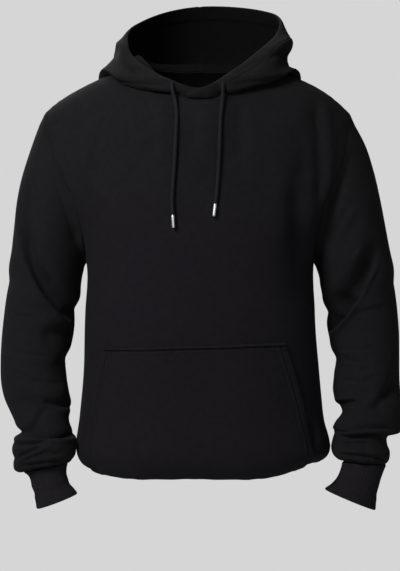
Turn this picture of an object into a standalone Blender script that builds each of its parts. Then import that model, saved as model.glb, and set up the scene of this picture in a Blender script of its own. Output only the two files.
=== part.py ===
"""A black pullover hoodie as it hangs on a wearer, left hollow.

Metres, +Z up, +X to the wearer's left, the front faces -Y. The origin lies between the
shoulders, where the wearer carries the garment. Every cloth piece is one wall of even
thickness, laid through sections that the tables below name.
"""

import math

import bmesh
import bpy
import numpy as np
from mathutils import Vector

# ------------------------------------------------------------------ driving sizes
WALL = 0.0023  # fleece
RIB_WALL = 0.0027  # doubled rib knit of the cuffs and the hem band
SEAM_GAP = 0.0003
SEAM_HALF = SEAM_GAP / 2
SHOULDER_ROUND = 0.130  # radius with which the shoulder turns down to the chest
SHOULDER_END = 0.239  # how far out the shoulder seam meets the sleeve
SEAM_FADE = 0.12  # how far down the shoulder seam's forward place still tells
NECK_HALF = 0.085
NECK_FRONT_DROP = 0.082
NECK_BACK_DROP = 0.022
HEM_SAG = 0.005  # the front of the hem hangs lower than its sides
SAG_FROM = -0.46
SAG_OVER = 0.10
SAG_DEPTH = 0.15  # this far in front of the middle the hem sinks by all of its sag
HEM_SQUARE = 2.6  # how square the hem is in plan: 2 is an ellipse
BAND_HEIGHT = 0.060
CUFF_RIBS = 40
CUFF_RIB_RISE = 0.0006
CORD_RADIUS = 0.0028
TIP_LENGTH = 0.019
TIP_RADIUS = 0.0027
POCKET_GAP = 0.0004
POCKET_LEAD_FROM = -0.29  # below this the panels' columns swing over to the pocket's sides
POCKET_LEAD_OVER = 0.10
POCKET_TOP_CLEAR = 0.004  # the pocket's first full row lies at least this far below its top
ARMHOLE_GAP = 0.0008
HOOD_CLEAR = 0.0023  # how far the hood lies off the shoulders
DEPTH_NAME = {-1: "front", 1: "back"}

# The shoulder line from the neck to the arm: distance from the middle, height, depth place.
SHOULDER = (
    ("across", "height", "depth"),
    (0.000, 0.0520, 0.014),
    (0.050, 0.0440, 0.013),
    (0.085, 0.0330, 0.012),
    (0.120, 0.0220, 0.009),
    (0.150, 0.0115, 0.006),
    (0.183, -0.0040, 0.003),
    (0.200, -0.0135, 0.002),
    (0.215, -0.0230, 0.001),
    (0.228, -0.0330, 0.000),
    (0.239, -0.0426, 0.000),
    (0.270, -0.0750, 0.000),
)

# Level sections of the body, from the shoulders to the fullest place above the hem.
TORSO = (
    ("height", "half_left", "half_right", "front", "back", "square"),
    (0.060, 0.300, 0.300, 0.118, 0.104, 2.00),
    (0.000, 0.292, 0.292, 0.127, 0.112, 2.00),
    (-0.043, 0.285, 0.285, 0.132, 0.118, 2.00),
    (-0.072, 0.267, 0.267, 0.135, 0.122, 2.00),
    (-0.120, 0.257, 0.257, 0.139, 0.126, 2.02),
    (-0.158, 0.240, 0.240, 0.142, 0.128, 2.10),
    (-0.189, 0.217, 0.217, 0.144, 0.128, 2.25),
    (-0.220, 0.195, 0.195, 0.145, 0.127, 2.40),
    (-0.256, 0.1785, 0.1785, 0.146, 0.125, 2.50),
    (-0.2752, 0.1755, 0.1755, 0.146, 0.124, 2.55),
    (-0.350, 0.1770, 0.1770, 0.146, 0.120, 2.60),
    (-0.420, 0.1820, 0.1785, 0.145, 0.121, 2.60),
    (-0.480, 0.1870, 0.1825, 0.147, 0.126, 2.60),
    (-0.520, 0.1920, 0.1870, 0.151, 0.131, 2.60),
    (-0.545, 0.1990, 0.1910, 0.155, 0.135, 2.60),
    (-0.557, 0.2010, 0.1920, 0.156, 0.136, 2.60),
)

# Where the armhole seam crosses each level, as a share of the half width there, and which
# way the cut edges of the panel and the sleeve face there: out, forward and up.
ARMHOLE = (
    ("height", "share", "out", "forward", "up"),
    (-0.0426, 0.8386, 0.78, 0.00, 0.62),
    (-0.0718, 0.8715, 0.75, 0.45, 0.48),
    (-0.1200, 0.8500, 0.60, 0.76, 0.25),
    (-0.1580, 0.8415, 0.50, 0.86, 0.10),
    (-0.1890, 0.8688, 0.55, 0.83, 0.00),
    (-0.2200, 0.9276, 0.66, 0.72, -0.20),
    (-0.2560, 0.9838, 0.73, 0.40, -0.55),
    (-0.2752, 1.0000, 0.72, 0.00, -0.69),
)

# The hem rolls under: how far in from the fullest line, and how high, down to the seam.
HEM_ROLL = (
    ("inset", "height"),
    (0.0000, -0.5570),
    (0.0015, -0.5680),
    (0.0060, -0.5790),
    (0.0130, -0.5880),
    (0.0200, -0.5905),
    (0.0260, -0.5870),
    (0.0290, -0.5800),
    (0.0300, -0.5720),
)

# Sections of the sleeves below the armhole seam. Each gives the outer and the inner end of
# the section seen from the front, the depth of its middle and half its depth.
SLEEVE_COLUMNS = ("outer_x", "outer_z", "inner_x", "inner_z", "middle_y", "half_depth", "square")
SLEEVE_LEFT = (
    SLEEVE_COLUMNS,
    (0.2470, -0.0600, 0.1775, -0.2765, 0.000, 0.072, 2.00),
    (0.2540, -0.0767, 0.1790, -0.2790, 0.000, 0.073, 2.00),
    (0.2680, -0.1279, 0.1815, -0.2870, 0.000, 0.075, 2.05),
    (0.2784, -0.1775, 0.1845, -0.2975, 0.000, 0.075, 2.10),
    (0.2869, -0.2208, 0.1866, -0.3108, 0.002, 0.073, 2.15),
    (0.2948, -0.2611, 0.1908, -0.3263, 0.003, 0.070, 2.20),
    (0.3025, -0.3030, 0.1947, -0.3449, 0.002, 0.068, 2.20),
    (0.3054, -0.3371, 0.1953, -0.3666, 0.000, 0.066, 2.20),
    (0.3073, -0.3758, 0.2020, -0.3944, -0.004, 0.063, 2.20),
    (0.3074, -0.4127, 0.2078, -0.4220, -0.010, 0.060, 2.20),
    (0.3074, -0.4464, 0.2065, -0.4494, -0.018, 0.057, 2.20),
    (0.3080, -0.4736, 0.2051, -0.4721, -0.027, 0.054, 2.20),
    (0.3082, -0.4947, 0.2092, -0.4885, -0.034, 0.052, 2.20),
    (0.3076, -0.5111, 0.2168, -0.5035, -0.040, 0.050, 2.20),
    (0.3072, -0.5245, 0.2061, -0.5184, -0.045, 0.051, 2.20),
    (0.3025, -0.5342, 0.2006, -0.5281, -0.048, 0.051, 2.20),
    (0.2872, -0.5415, 0.2040, -0.5370, -0.051, 0.047, 2.20),
    (0.2852, -0.5505, 0.2010, -0.5460, -0.053, 0.047, 2.20),
    (0.2885, -0.5620, 0.1993, -0.5572, -0.056, 0.047, 2.20),
    (0.2875, -0.5725, 0.2032, -0.5683, -0.059, 0.044, 2.20),
    (0.2840, -0.5785, 0.2125, -0.5745, -0.061, 0.036, 2.20),
    (0.2815, -0.5798, 0.2175, -0.5752, -0.062, 0.0295, 2.20),
)
SLEEVE_RIGHT = (
    SLEEVE_COLUMNS,
    (0.2472, -0.0600, 0.1775, -0.2765, 0.000, 0.072, 2.00),
    (0.2542, -0.0767, 0.1788, -0.2790, 0.000, 0.073, 2.00),
    (0.2728, -0.1310, 0.1806, -0.2870, 0.000, 0.075, 2.05),
    (0.2830, -0.1775, 0.1826, -0.2960, 0.000, 0.075, 2.10),
    (0.2890, -0.2239, 0.1845, -0.3080, 0.002, 0.073, 2.15),
    (0.2940, -0.2735, 0.1862, -0.3216, 0.003, 0.070, 2.20),
    (0.2993, -0.3170, 0.1892, -0.3371, 0.002, 0.068, 2.20),
    (0.3030, -0.3557, 0.1914, -0.3573, 0.000, 0.066, 2.20),
    (0.3065, -0.3944, 0.1958, -0.3851, -0.004, 0.063, 2.20),
    (0.3082, -0.4282, 0.2039, -0.4158, -0.010, 0.060, 2.20),
    (0.3066, -0.4587, 0.2049, -0.4464, -0.018, 0.057, 2.20),
    (0.2995, -0.4843, 0.2005, -0.4736, -0.027, 0.054, 2.20),
    (0.2904, -0.5023, 0.1962, -0.4931, -0.034, 0.052, 2.20),
    (0.2829, -0.5172, 0.2003, -0.5080, -0.040, 0.049, 2.20),
    (0.2785, -0.5315, 0.1990, -0.5199, -0.045, 0.047, 2.20),
    (0.2840, -0.5440, 0.1930, -0.5318, -0.049, 0.050, 2.20),
    (0.2863, -0.5574, 0.1896, -0.5452, -0.053, 0.052, 2.20),
    (0.2844, -0.5709, 0.1890, -0.5587, -0.056, 0.051, 2.20),
    (0.2800, -0.5828, 0.1910, -0.5691, -0.059, 0.047, 2.20),
    (0.2725, -0.5895, 0.1965, -0.5755, -0.061, 0.040, 2.20),
    (0.2655, -0.5896, 0.2015, -0.5762, -0.062, 0.0295, 2.20),
)
CUFF_LEFT = (
    SLEEVE_COLUMNS,
    (0.2823, -0.5810, 0.2171, -0.5764, -0.062, 0.029, 2.20),
    (0.2776, -0.5929, 0.2131, -0.5899, -0.064, 0.028, 2.20),
    (0.2720, -0.6078, 0.2076, -0.6017, -0.067, 0.028, 2.15),
    (0.2671, -0.6270, 0.1998, -0.6096, -0.071, 0.029, 2.05),
    (0.2651, -0.6476, 0.1894, -0.6159, -0.076, 0.031, 1.95),
)
CUFF_RIGHT = (
    SLEEVE_COLUMNS,
    (0.2649, -0.5908, 0.2011, -0.5772, -0.062, 0.029, 2.20),
    (0.2586, -0.6005, 0.2025, -0.5899, -0.064, 0.028, 2.20),
    (0.2541, -0.6135, 0.2015, -0.6017, -0.067, 0.028, 2.15),
    (0.2497, -0.6286, 0.1961, -0.6112, -0.071, 0.029, 2.05),
    (0.2467, -0.6458, 0.1858, -0.6227, -0.076, 0.031, 1.95),
)

# The hood stands round the neck. Each row is a line round it, from the neckline seam to the
# rim: how far it reaches from the neck's middle, and how high, in six directions.
HOOD_DIRECTIONS = ("front", "quarter", "corner", "side", "rear", "back")
HOOD_ANGLES = (0.0, 24.0, 50.0, 90.0, 132.0, 180.0)  # degrees from the front
HOOD_REACH = (
    ("line",) + HOOD_DIRECTIONS,
    ("stand", 0.1150, 0.1115, 0.0960, 0.0925, 0.1040, 0.0930),
    ("trough", 0.1158, 0.1150, 0.1185, 0.1220, 0.1290, 0.1310),
    ("roll", 0.1166, 0.1195, 0.1310, 0.1440, 0.1680, 0.1700),
    ("bulge", 0.1174, 0.1240, 0.1380, 0.1540, 0.1830, 0.1950),
    ("fold", 0.1178, 0.1250, 0.1355, 0.1320, 0.1760, 0.2000),
    ("crown", 0.1178, 0.1200, 0.1230, 0.1370, 0.1680, 0.1980),
    ("rim", 0.1170, 0.1070, 0.1025, 0.1165, 0.1470, 0.1650),
)
HOOD_HEIGHT = (
    ("line",) + HOOD_DIRECTIONS,
    ("stand", -0.0285, -0.0140, 0.0175, 0.0440, 0.0400, 0.0420),
    ("trough", -0.0270, -0.0195, 0.0050, 0.0290, 0.0060, -0.0550),
    ("roll", -0.0252, -0.0222, -0.0095, 0.0155, -0.0480, -0.1250),
    ("bulge", -0.0232, -0.0190, -0.0040, 0.0215, -0.0250, -0.0950),
    ("fold", -0.0210, -0.0120, 0.0080, 0.0460, 0.0150, -0.0350),
    ("crown", -0.0185, -0.0030, 0.0190, 0.0670, 0.0640, 0.0600),
    ("rim", -0.0158, 0.0045, 0.0285, 0.0710, 0.1170, 0.1450),
)
# The wearer's left half stands higher and fuller: half the difference between the halves.
HOOD_LEAN = (
    ("line", "reach_quarter", "reach_corner", "reach_side", "reach_rear",
     "height_quarter", "height_corner", "height_side", "height_rear"),
    ("roll", 0.000, 0.000, 0.000, 0.000, 0.000, 0.003, 0.001, 0.000),
    ("fold", 0.000, 0.000, 0.003, 0.002, 0.002, 0.004, -0.007, -0.004),
    ("crown", -0.001, -0.001, 0.005, 0.004, 0.003, 0.006, 0.003, 0.002),
    ("rim", -0.004, -0.006, 0.001, 0.011, 0.005, 0.0065, 0.007, 0.009),
)
HOOD_OVERLAP = 9.0  # degrees by which the left half crosses the middle, over the right one
HOOD_UNDERLAP = 5.0  # degrees by which the right half goes on beneath it
HOOD_OVERLAP_CUT = 0.72  # how much of its height the left half has lost at that end
HOOD_UNDERLAP_CUT = 0.30
HOOD_LAP_LIFT = WALL + 0.0016
HOOD_LAP_FLAT = 2.0  # degrees past the right half's end over which the left one stays lifted
HOOD_LAP_FADE = 8.0
HOOD_SWELL = 0.0025  # how far the hood swells where its halves cross at the front
HOOD_UPRIGHT_TO = 9.0  # up to this many degrees from the front the hood stands straight up
HOOD_UPRIGHT_FADE = 14.0
HOOD_RESTS_FROM = 14.0  # from this many degrees on the hood lies on the shoulders
HOOD_RESTS_FADE = 20.0
HOOD_RESTS_BEHIND = 0.012  # behind this depth place it lies on the back panel
HOOD_LIFT = 0.0007  # the hood starts this far off the neckline of the panels

# The pouch pocket on the front panel: the heights of the ends of its top edge, on the
# wearer's right and left, and its sides as shares of the body's half width.
POCKET_TOP = (-0.4035, -0.3960)
POCKET_END = 0.70  # the share of the hem's roll at which the pocket's lower edge ends
POCKET_SIDE = (
    ("height", "left_share", "right_share"),
    (-0.3980, 0.700, 0.785),
    (-0.4300, 0.745, 0.825),
    (-0.4600, 0.783, 0.853),
    (-0.4900, 0.812, 0.873),
    (-0.5200, 0.830, 0.886),
    (-0.5570, 0.835, 0.893),
)

# Routes of the drawcords, from the eyelet in the hood down over the chest.
CORD_LEFT_ROUTE = (
    (0.0342, -0.1160, -0.0125),
    (0.0340, -0.1167, -0.0200),
    (0.0334, -0.1186, -0.0290),
    (0.0325, -0.1222, -0.0415),
    (0.0310, -0.1267, -0.0560),
    (0.0301, -0.1312, -0.0700),
    (0.0295, -0.1346, -0.0850),
    (0.0288, -0.1372, -0.1030),
    (0.0280, -0.1397, -0.1250),
    (0.0266, -0.1423, -0.1480),
    (0.0251, -0.1444, -0.1692),
    (0.0226, -0.1462, -0.1890),
)
CORD_RIGHT_ROUTE = (
    (-0.0417, -0.1182, -0.0135),
    (-0.0406, -0.1187, -0.0210),
    (-0.0382, -0.1198, -0.0300),
    (-0.0358, -0.1226, -0.0420),
    (-0.0345, -0.1267, -0.0560),
    (-0.0350, -0.1314, -0.0710),
    (-0.0357, -0.1344, -0.0860),
    (-0.0366, -0.1374, -0.1050),
    (-0.0384, -0.1412, -0.1396),
    (-0.0402, -0.1438, -0.1640),
    (-0.0412, -0.1458, -0.1860),
    (-0.0402, -0.1474, -0.2060),
)

# Largest folds: the face they lie on, both ends, how far the middle bows up, the width and
# the depth of the trough. On "front" and "back" the places are across and height, on
# "outer" and "inner" they are depth and height.
FOLD_COLUMNS = ("face", "from_a", "from_z", "to_a", "to_z", "bow", "width", "depth")
FOLDS = {
    "sleeve_left": (
        FOLD_COLUMNS,
        ("front", 0.205, -0.150, 0.198, -0.250, 0.004, 0.012, 0.0060),
        ("front", 0.268, -0.250, 0.212, -0.345, -0.004, 0.013, 0.0070),
        ("front", 0.235, -0.205, 0.208, -0.265, 0.000, 0.014, 0.0040),
        ("front", 0.282, -0.480, 0.305, -0.450, 0.000, 0.016, 0.0050),
        ("back", 0.210, -0.300, 0.290, -0.245, 0.006, 0.014, 0.0060),
        ("back", 0.205, -0.360, 0.300, -0.330, 0.005, 0.014, 0.0050),
        ("back", 0.200, -0.420, 0.300, -0.415, 0.004, 0.013, 0.0050),
    ),
    "sleeve_right": (
        FOLD_COLUMNS,
        ("front", -0.192, -0.155, -0.184, -0.245, 0.004, 0.012, 0.0060),
        ("front", -0.268, -0.235, -0.202, -0.358, -0.010, 0.013, 0.0065),
        ("front", -0.275, -0.480, -0.200, -0.492, -0.008, 0.012, 0.0055),
        ("back", -0.210, -0.290, -0.290, -0.240, 0.006, 0.014, 0.0060),
        ("back", -0.205, -0.350, -0.300, -0.315, 0.005, 0.014, 0.0050),
        ("back", -0.200, -0.430, -0.300, -0.405, 0.004, 0.013, 0.0050),
    ),
    "front": (
        FOLD_COLUMNS,
        ("front", 0.160, -0.120, 0.150, -0.270, 0.004, 0.016, 0.0045),
        ("front", -0.165, -0.120, -0.150, -0.240, -0.004, 0.016, 0.0040),
        ("front", 0.168, -0.500, 0.170, -0.560, 0.000, 0.010, 0.0035),
    ),
    "back": (
        FOLD_COLUMNS,
        ("back", 0.165, -0.150, 0.120, -0.290, 0.006, 0.018, 0.0055),
        ("back", -0.165, -0.150, -0.125, -0.280, -0.006, 0.018, 0.0050),
        ("back", -0.120, -0.400, 0.090, -0.425, -0.010, 0.016, 0.0040),
        ("back", -0.060, -0.470, 0.140, -0.460, 0.008, 0.015, 0.0035),
    ),
}
FOLD_LIP = 0.5  # how far the cloth beside a trough rises, as a share of its depth
FOLD_LIP_PLACE = 1.9  # how far beside the trough, in trough widths
FOLD_LIP_WIDTH = 1.1
FOLD_PAST = 0.12  # a fold runs on past its ends by this share of its length
FOLD_FADE = 0.3
FOLD_SEEN = 0.5  # cloth that faces a view by this much or more takes the whole fold

# How finely each piece is laid out.
TORSO_NECK_STEPS = 4
TORSO_SIDE_STEPS = 8
TORSO_SIDE_SEAM_STEPS = 7
TORSO_ROLL_STEPS = 7
ARMHOLE_STEPS = 11
SLEEVE_LONG_STEPS = 26
HOOD_ROUND_STEPS = 18
HOOD_LONG_STEPS = 15
CUFF_LONG_STEPS = 2
BAND_LONG_STEPS = 2
SEAM_LINE_STEPS = 160
CORD_STEP = 2.2  # in cord diameters

NECK_SHARE = NECK_HALF / SHOULDER_END  # the neck point along the shoulder line
SIDE_START = math.asin(NECK_SHARE ** (HEM_SQUARE / 2))
# The panel column that the pocket's sides follow.
POCKET_COLUMN = math.sin(0.625 * SIDE_START + 0.375 * math.pi / 2) ** (2 / HEM_SQUARE)


# ------------------------------------------------------------------ tables and lines
def column(table, name):
    """One named column of a table."""
    place = table[0].index(name)
    return np.array([row[place] for row in table[1:]], float)


def row(table, name):
    """The numbers of a table's row that starts with a name."""
    return np.array(next(r[1:] for r in table[1:] if r[0] == name), float)


def through(places, values, at):
    """A smooth line through values (first axis) that are known at places, read at at."""
    places = np.asarray(places, float)
    values = np.asarray(values, float)
    if places[0] > places[-1]:
        places, values = places[::-1], values[::-1]
    at = np.clip(np.asarray(at, float), places[0], places[-1])
    more = (1,) * (values.ndim - 1)
    step = np.diff(places)
    slope = np.diff(values, axis=0) / step.reshape(-1, *more)
    tangent = np.concatenate([slope[:1], slope[:1], slope[1:]])
    near, far = step[:-1].reshape(-1, *more), step[1:].reshape(-1, *more)
    tangent[1:-1] = (slope[:-1] * far + slope[1:] * near) / (near + far)
    tangent[0], tangent[-1] = slope[0], slope[-1]
    k = np.clip(np.searchsorted(places, at, side="right") - 1, 0, len(step) - 1)
    wide = step[k].reshape(at.shape + more)
    t = ((at - places[k]) / step[k]).reshape(at.shape + more)
    return (
        (1 + 2 * t) * (1 - t) ** 2 * values[k]
        + t * (1 - t) ** 2 * wide * tangent[k]
        + t * t * (3 - 2 * t) * values[k + 1]
        + t * t * (t - 1) * wide * tangent[k + 1]
    )


def eased(t):
    """0 to 1 with a soft start and end."""
    t = np.clip(t, 0.0, 1.0)
    return t * t * (3 - 2 * t)


# ------------------------------------------------------------------ folds and walls
def normals_of(points, closed):
    """Unit normals of a grid of points; closed says that its last column meets its first."""
    if closed:
        wrapped = np.concatenate([points[:, -1:], points, points[:, :1]], axis=1)
        across = (wrapped[:, 2:] - wrapped[:, :-2]) / 2
    else:
        across = np.gradient(points, axis=1)
    down = np.gradient(points, axis=0)
    normal = np.cross(down, across)
    return normal / np.maximum(np.linalg.norm(normal, axis=2, keepdims=True), 1e-12)


def folded(points, normals, table):
    """The points after the folds of a table have been pressed into them."""
    moved = np.zeros(points.shape[:2])
    facing = {
        "front": -normals[..., 1],
        "back": normals[..., 1],
        "outer": np.sign(points[..., 0]) * normals[..., 0],
        "inner": -np.sign(points[..., 0]) * normals[..., 0],
    }
    for face, from_a, from_z, to_a, to_z, bow, width, depth in table[1:]:
        a = points[..., 0] if face in ("front", "back") else points[..., 1]
        run = np.array([to_a - from_a, to_z - from_z])
        length = np.linalg.norm(run)
        run = run / length
        along = ((a - from_a) * run[0] + (points[..., 2] - from_z) * run[1]) / length
        beside = (a - from_a) * -run[1] + (points[..., 2] - from_z) * run[0]
        if run[0] < 0 or (run[0] == 0 and run[1] > 0):
            beside = -beside
        beside = beside - bow * (1 - (2 * along - 1) ** 2)
        ends = eased((along + FOLD_PAST) / FOLD_FADE) * eased((1 + FOLD_PAST - along) / FOLD_FADE)
        trough = np.exp(-((beside / width) ** 2))
        lip = np.exp(-(((beside / width - FOLD_LIP_PLACE) / FOLD_LIP_WIDTH) ** 2))
        seen = eased(facing[face] / FOLD_SEEN)
        moved += depth * ends * seen * (FOLD_LIP * lip - trough)
    return points + normals * moved[..., None]


def wall(name, outer, inner, closed, material):
    """A closed mesh between two grids of points, cut into triangles alike on both faces."""
    rows, columns = outer.shape[:2]
    under = rows * columns
    points = np.concatenate([outer.reshape(-1, 3), inner.reshape(-1, 3)])
    spans = columns if closed else columns - 1
    faces = []
    for r in range(rows - 1):
        for c in range(spans):
            d = (c + 1) % columns
            here, right = r * columns + c, r * columns + d
            below, across = here + columns, right + columns
            down = np.linalg.norm(outer[r, c] - outer[r + 1, d])
            up = np.linalg.norm(outer[r + 1, c] - outer[r, d])
            if down < up + 1e-6:
                halves = ((here, below, across), (here, across, right))
            else:
                halves = ((here, below, right), (below, across, right))
            faces += halves
            faces += [tuple(under + k for k in reversed(half)) for half in halves]
    for c in range(spans):
        d = (c + 1) % columns
        last = (rows - 1) * columns
        faces.append((c, d, under + d, under + c))
        faces.append((last + d, last + c, under + last + c, under + last + d))
    if not closed:
        for r in range(rows - 1):
            first, end = r * columns, r * columns + columns - 1
            faces.append((first + columns, first, under + first, under + first + columns))
            faces.append((end, end + columns, under + end + columns, under + end))
    mesh = bpy.data.meshes.new(name)
    mesh.from_pydata(points.tolist(), [], faces)
    bm = bmesh.new()
    bm.from_mesh(mesh)
    bmesh.ops.recalc_face_normals(bm, faces=bm.faces)
    if bm.calc_volume(signed=True) < 0:
        bmesh.ops.reverse_faces(bm, faces=bm.faces)
    bm.to_mesh(mesh)
    bm.free()
    mesh.shade_smooth()
    mesh.set_sharp_from_angle(angle=math.radians(50))
    mesh.materials.append(material)
    made = bpy.data.objects.new(name, mesh)
    bpy.context.collection.objects.link(made)
    return made


# ------------------------------------------------------------------ the body
def quarter_drop(path):
    """How far down the cloth lies after a path over the rounded shoulder."""
    turn = np.minimum(path / SHOULDER_ROUND, math.pi / 2)
    straight = np.maximum(path - SHOULDER_ROUND * math.pi / 2, 0.0)
    return SHOULDER_ROUND * (1 - np.cos(turn)) + straight


def quarter_path(drop):
    """The path over the rounded shoulder that reaches a drop."""
    turned = np.arccos(1 - np.clip(drop / SHOULDER_ROUND, 0.0, 1.0))
    return SHOULDER_ROUND * turned + np.maximum(drop - SHOULDER_ROUND, 0.0)


def shoulder_height(x):
    return through(column(SHOULDER, "across"), column(SHOULDER, "height"), np.abs(x))


def half_width(z, sign):
    """Half the body's width at a height, to the wearer's left (+1) or right (-1)."""
    height = column(TORSO, "height")
    left = through(height, column(TORSO, "half_left"), z)
    right = through(height, column(TORSO, "half_right"), z)
    return np.where(np.asarray(sign) >= 0, left, right)


def body_point(x, drop, side):
    """The outer face of the front (side -1) or the back (+1), a drop below the shoulder line."""
    z = shoulder_height(x) - drop
    height = column(TORSO, "height")
    depth = through(height, column(TORSO, DEPTH_NAME[side]), z)
    square = through(height, column(TORSO, "square"), z)
    share = np.clip(np.abs(x) / half_width(z, x), 0.0, 1.0)
    round_off = (1 - share**square) ** (1 / square)
    turned = np.sqrt(1 - (1 - np.clip(drop / SHOULDER_ROUND, 0.0, 1.0)) ** 2)
    seam = through(column(SHOULDER, "across"), column(SHOULDER, "depth"), np.abs(x))
    y = seam * np.exp(-drop / SEAM_FADE) + side * (depth * round_off * turned + SEAM_HALF)
    return np.stack([x, y, z], axis=-1)


def armhole_line(side):
    """The armhole seam on the front (-1) or the back (+1), finely, and its running length."""
    z = np.linspace(*column(ARMHOLE, "height")[[0, -1]], SEAM_LINE_STEPS + 1)
    reach = through(column(ARMHOLE, "height"), column(ARMHOLE, "share"), z) * half_width(z, 1)
    line = body_point(reach, np.maximum(shoulder_height(reach) - z, 0.0), side)
    run = np.concatenate([[0], np.cumsum(np.linalg.norm(np.diff(line, axis=0), axis=1))])
    return line, run / run[-1]


def edge_direction(z, side, sign):
    """Which way the cut edges at the armhole seam face, at heights."""
    out, forward, up = (
        through(column(ARMHOLE, "height"), column(ARMHOLE, name), z)
        for name in ("out", "forward", "up")
    )
    way = np.stack([sign * out, side * forward, up], axis=-1)
    return way / np.linalg.norm(way, axis=-1, keepdims=True)


def across_shares(neck_steps, side_steps):
    """Columns of a panel as shares of its half width, with one at each neck point."""
    inside = NECK_SHARE * np.sin(np.linspace(0, math.pi / 2, neck_steps + 1))
    outside = np.sin(np.linspace(SIDE_START, math.pi / 2, side_steps + 1)) ** (2 / HEM_SQUARE)
    half = np.concatenate([inside, outside[1:]])
    return np.concatenate([-half[:0:-1], half])


def slanted(shares, z):
    """The columns of a panel at a height, led along the sides of the pocket."""
    heights = column(POCKET_SIDE, "height")
    lead = eased((POCKET_LEAD_FROM - z) / POCKET_LEAD_OVER)
    moved = np.empty(np.shape(shares))
    for sign, name in ((1, "left_share"), (-1, "right_share")):
        edge = through(heights, column(POCKET_SIDE, name), z)
        edge = POCKET_COLUMN + lead * (edge - POCKET_COLUMN)
        size = np.clip(np.abs(shares), 0, 1)
        inner = NECK_SHARE + (size - NECK_SHARE) * (edge - NECK_SHARE) / (POCKET_COLUMN - NECK_SHARE)
        outer = 1 - (1 - size) * (1 - edge) / (1 - POCKET_COLUMN)
        slid = np.where(size <= NECK_SHARE, size, np.where(size <= POCKET_COLUMN, inner, outer))
        moved = np.where(np.sign(shares) == sign, sign * slid, moved)
    return np.where(shares == 0, 0.0, moved)


def hem_sag(points):
    """The points after the hem has sunk at the front."""
    sag = eased((SAG_FROM - points[..., 2]) / SAG_OVER) * HEM_SAG
    points[..., 2] -= sag * np.clip(-points[..., 1] / SAG_DEPTH, 0.0, 1.0)
    return points


def shoulder_row(side, shares, t):
    """A row of a panel beside the armhole, a share t of the seam's length down."""
    line, run = armhole_line(side)
    z_edge = np.interp(t, run, line[:, 2])
    reach = np.interp(t, run, line[:, 0])
    x = shares * reach
    edge_drop = max(float(shoulder_height(reach)) - z_edge, 0.0) if t > 0 else 0.0
    level = eased(t)
    drop = (1 - level) * edge_drop + level * (shoulder_height(x) - z_edge)
    neck_drop = NECK_FRONT_DROP if side < 0 else NECK_BACK_DROP
    scoop = np.sqrt(np.clip(1 - (shares / NECK_SHARE) ** 2, 0.0, 1.0))
    path = quarter_path(np.maximum(drop, 0.0)) + quarter_path(neck_drop) * scoop * (1 - level) ** 2
    return body_point(x, quarter_drop(path), side)


def side_row(side, shares, z):
    """A level row of a panel below the armhole; z may differ from column to column."""
    x = slanted(shares, z) * half_width(z, shares)
    return body_point(x, shoulder_height(x) - z, side)


def rolled_row(side, shares, place):
    """A row of the hem's roll, at a place along its table."""
    places = np.arange(len(HEM_ROLL) - 1)
    inset = through(places, column(HEM_ROLL, "inset"), place)
    z = through(places, column(HEM_ROLL, "height"), place)
    waist = column(HEM_ROLL, "height")[0]
    depth = through(column(TORSO, "height"), column(TORSO, DEPTH_NAME[side]), waist) - inset
    across = slanted(shares, waist)
    x = across * (half_width(waist, shares) - inset)
    y = side * (depth * (1 - np.abs(across) ** HEM_SQUARE) ** (1 / HEM_SQUARE) + SEAM_HALF)
    return np.stack([x, y, np.full(len(x), z)], axis=-1)


def panel(side, shares, armhole_steps, seam_steps, roll_steps):
    """The outer face of the front or the back, from the shoulder seam to the hem seam."""
    bottom, waist = column(ARMHOLE, "height")[-1], column(HEM_ROLL, "height")[0]
    rows = [shoulder_row(side, shares, t) for t in np.linspace(0, 1, armhole_steps + 1)]
    rows += [side_row(side, shares, z) for z in np.linspace(bottom, waist, seam_steps + 1)[1:]]
    places = np.linspace(0, len(HEM_ROLL) - 2, roll_steps + 1)[1:]
    rows += [rolled_row(side, shares, place) for place in places]
    return hem_sag(np.array(rows))


def panel_outward(points, side, shares, armhole_steps):
    """Outward directions on a panel; its cut edges face along their seams."""
    outward = -side * normals_of(points, False)
    outward[:, [0, -1], 1] = 0.0
    outward[0, np.abs(shares) > NECK_SHARE - 1e-6, 1] = 0.0
    outward[-1, :, 2] = 0.0
    outward /= np.linalg.norm(outward, axis=2, keepdims=True)
    for edge, sign in ((0, -1), (-1, 1)):
        z = points[: armhole_steps + 1, edge, 2]
        outward[: armhole_steps + 1, edge] = edge_direction(z, side, sign)
    return outward


def front_shell(shares, armhole_steps, seam_steps, roll_steps):
    """The front panel's folded outer face and its outward directions."""
    flat = panel(-1, shares, armhole_steps, seam_steps, roll_steps)
    outer = folded(flat, panel_outward(flat, -1, shares, armhole_steps), FOLDS["front"])
    return outer, panel_outward(outer, -1, shares, armhole_steps)


def make_panel(name, side, material):
    shares = across_shares(TORSO_NECK_STEPS, TORSO_SIDE_STEPS)
    flat = panel(side, shares, ARMHOLE_STEPS, TORSO_SIDE_SEAM_STEPS, TORSO_ROLL_STEPS)
    outer = folded(flat, panel_outward(flat, side, shares, ARMHOLE_STEPS), FOLDS[name])
    inner = outer - panel_outward(outer, side, shares, ARMHOLE_STEPS) * WALL
    return wall(name, outer, inner, False, material)


# ------------------------------------------------------------------ sleeves and cuffs
def section(table, k, angles, sign):
    """One closed section of a sleeve or cuff table, at row place k."""
    places = np.arange(len(table) - 1)
    outer_x, outer_z, inner_x, inner_z, middle, half_depth, square = (
        through(places, column(table, name), k) for name in SLEEVE_COLUMNS
    )
    along = np.sign(np.cos(angles)) * np.abs(np.cos(angles)) ** (2 / square)
    forward = np.sign(np.sin(angles)) * np.abs(np.sin(angles)) ** (2 / square)
    x = (outer_x + inner_x) / 2 + along * (outer_x - inner_x) / 2
    z = (outer_z + inner_z) / 2 + along * (outer_z - inner_z) / 2
    y = middle - forward * half_depth
    return np.stack([sign * x, y, z], axis=-1)


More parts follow.
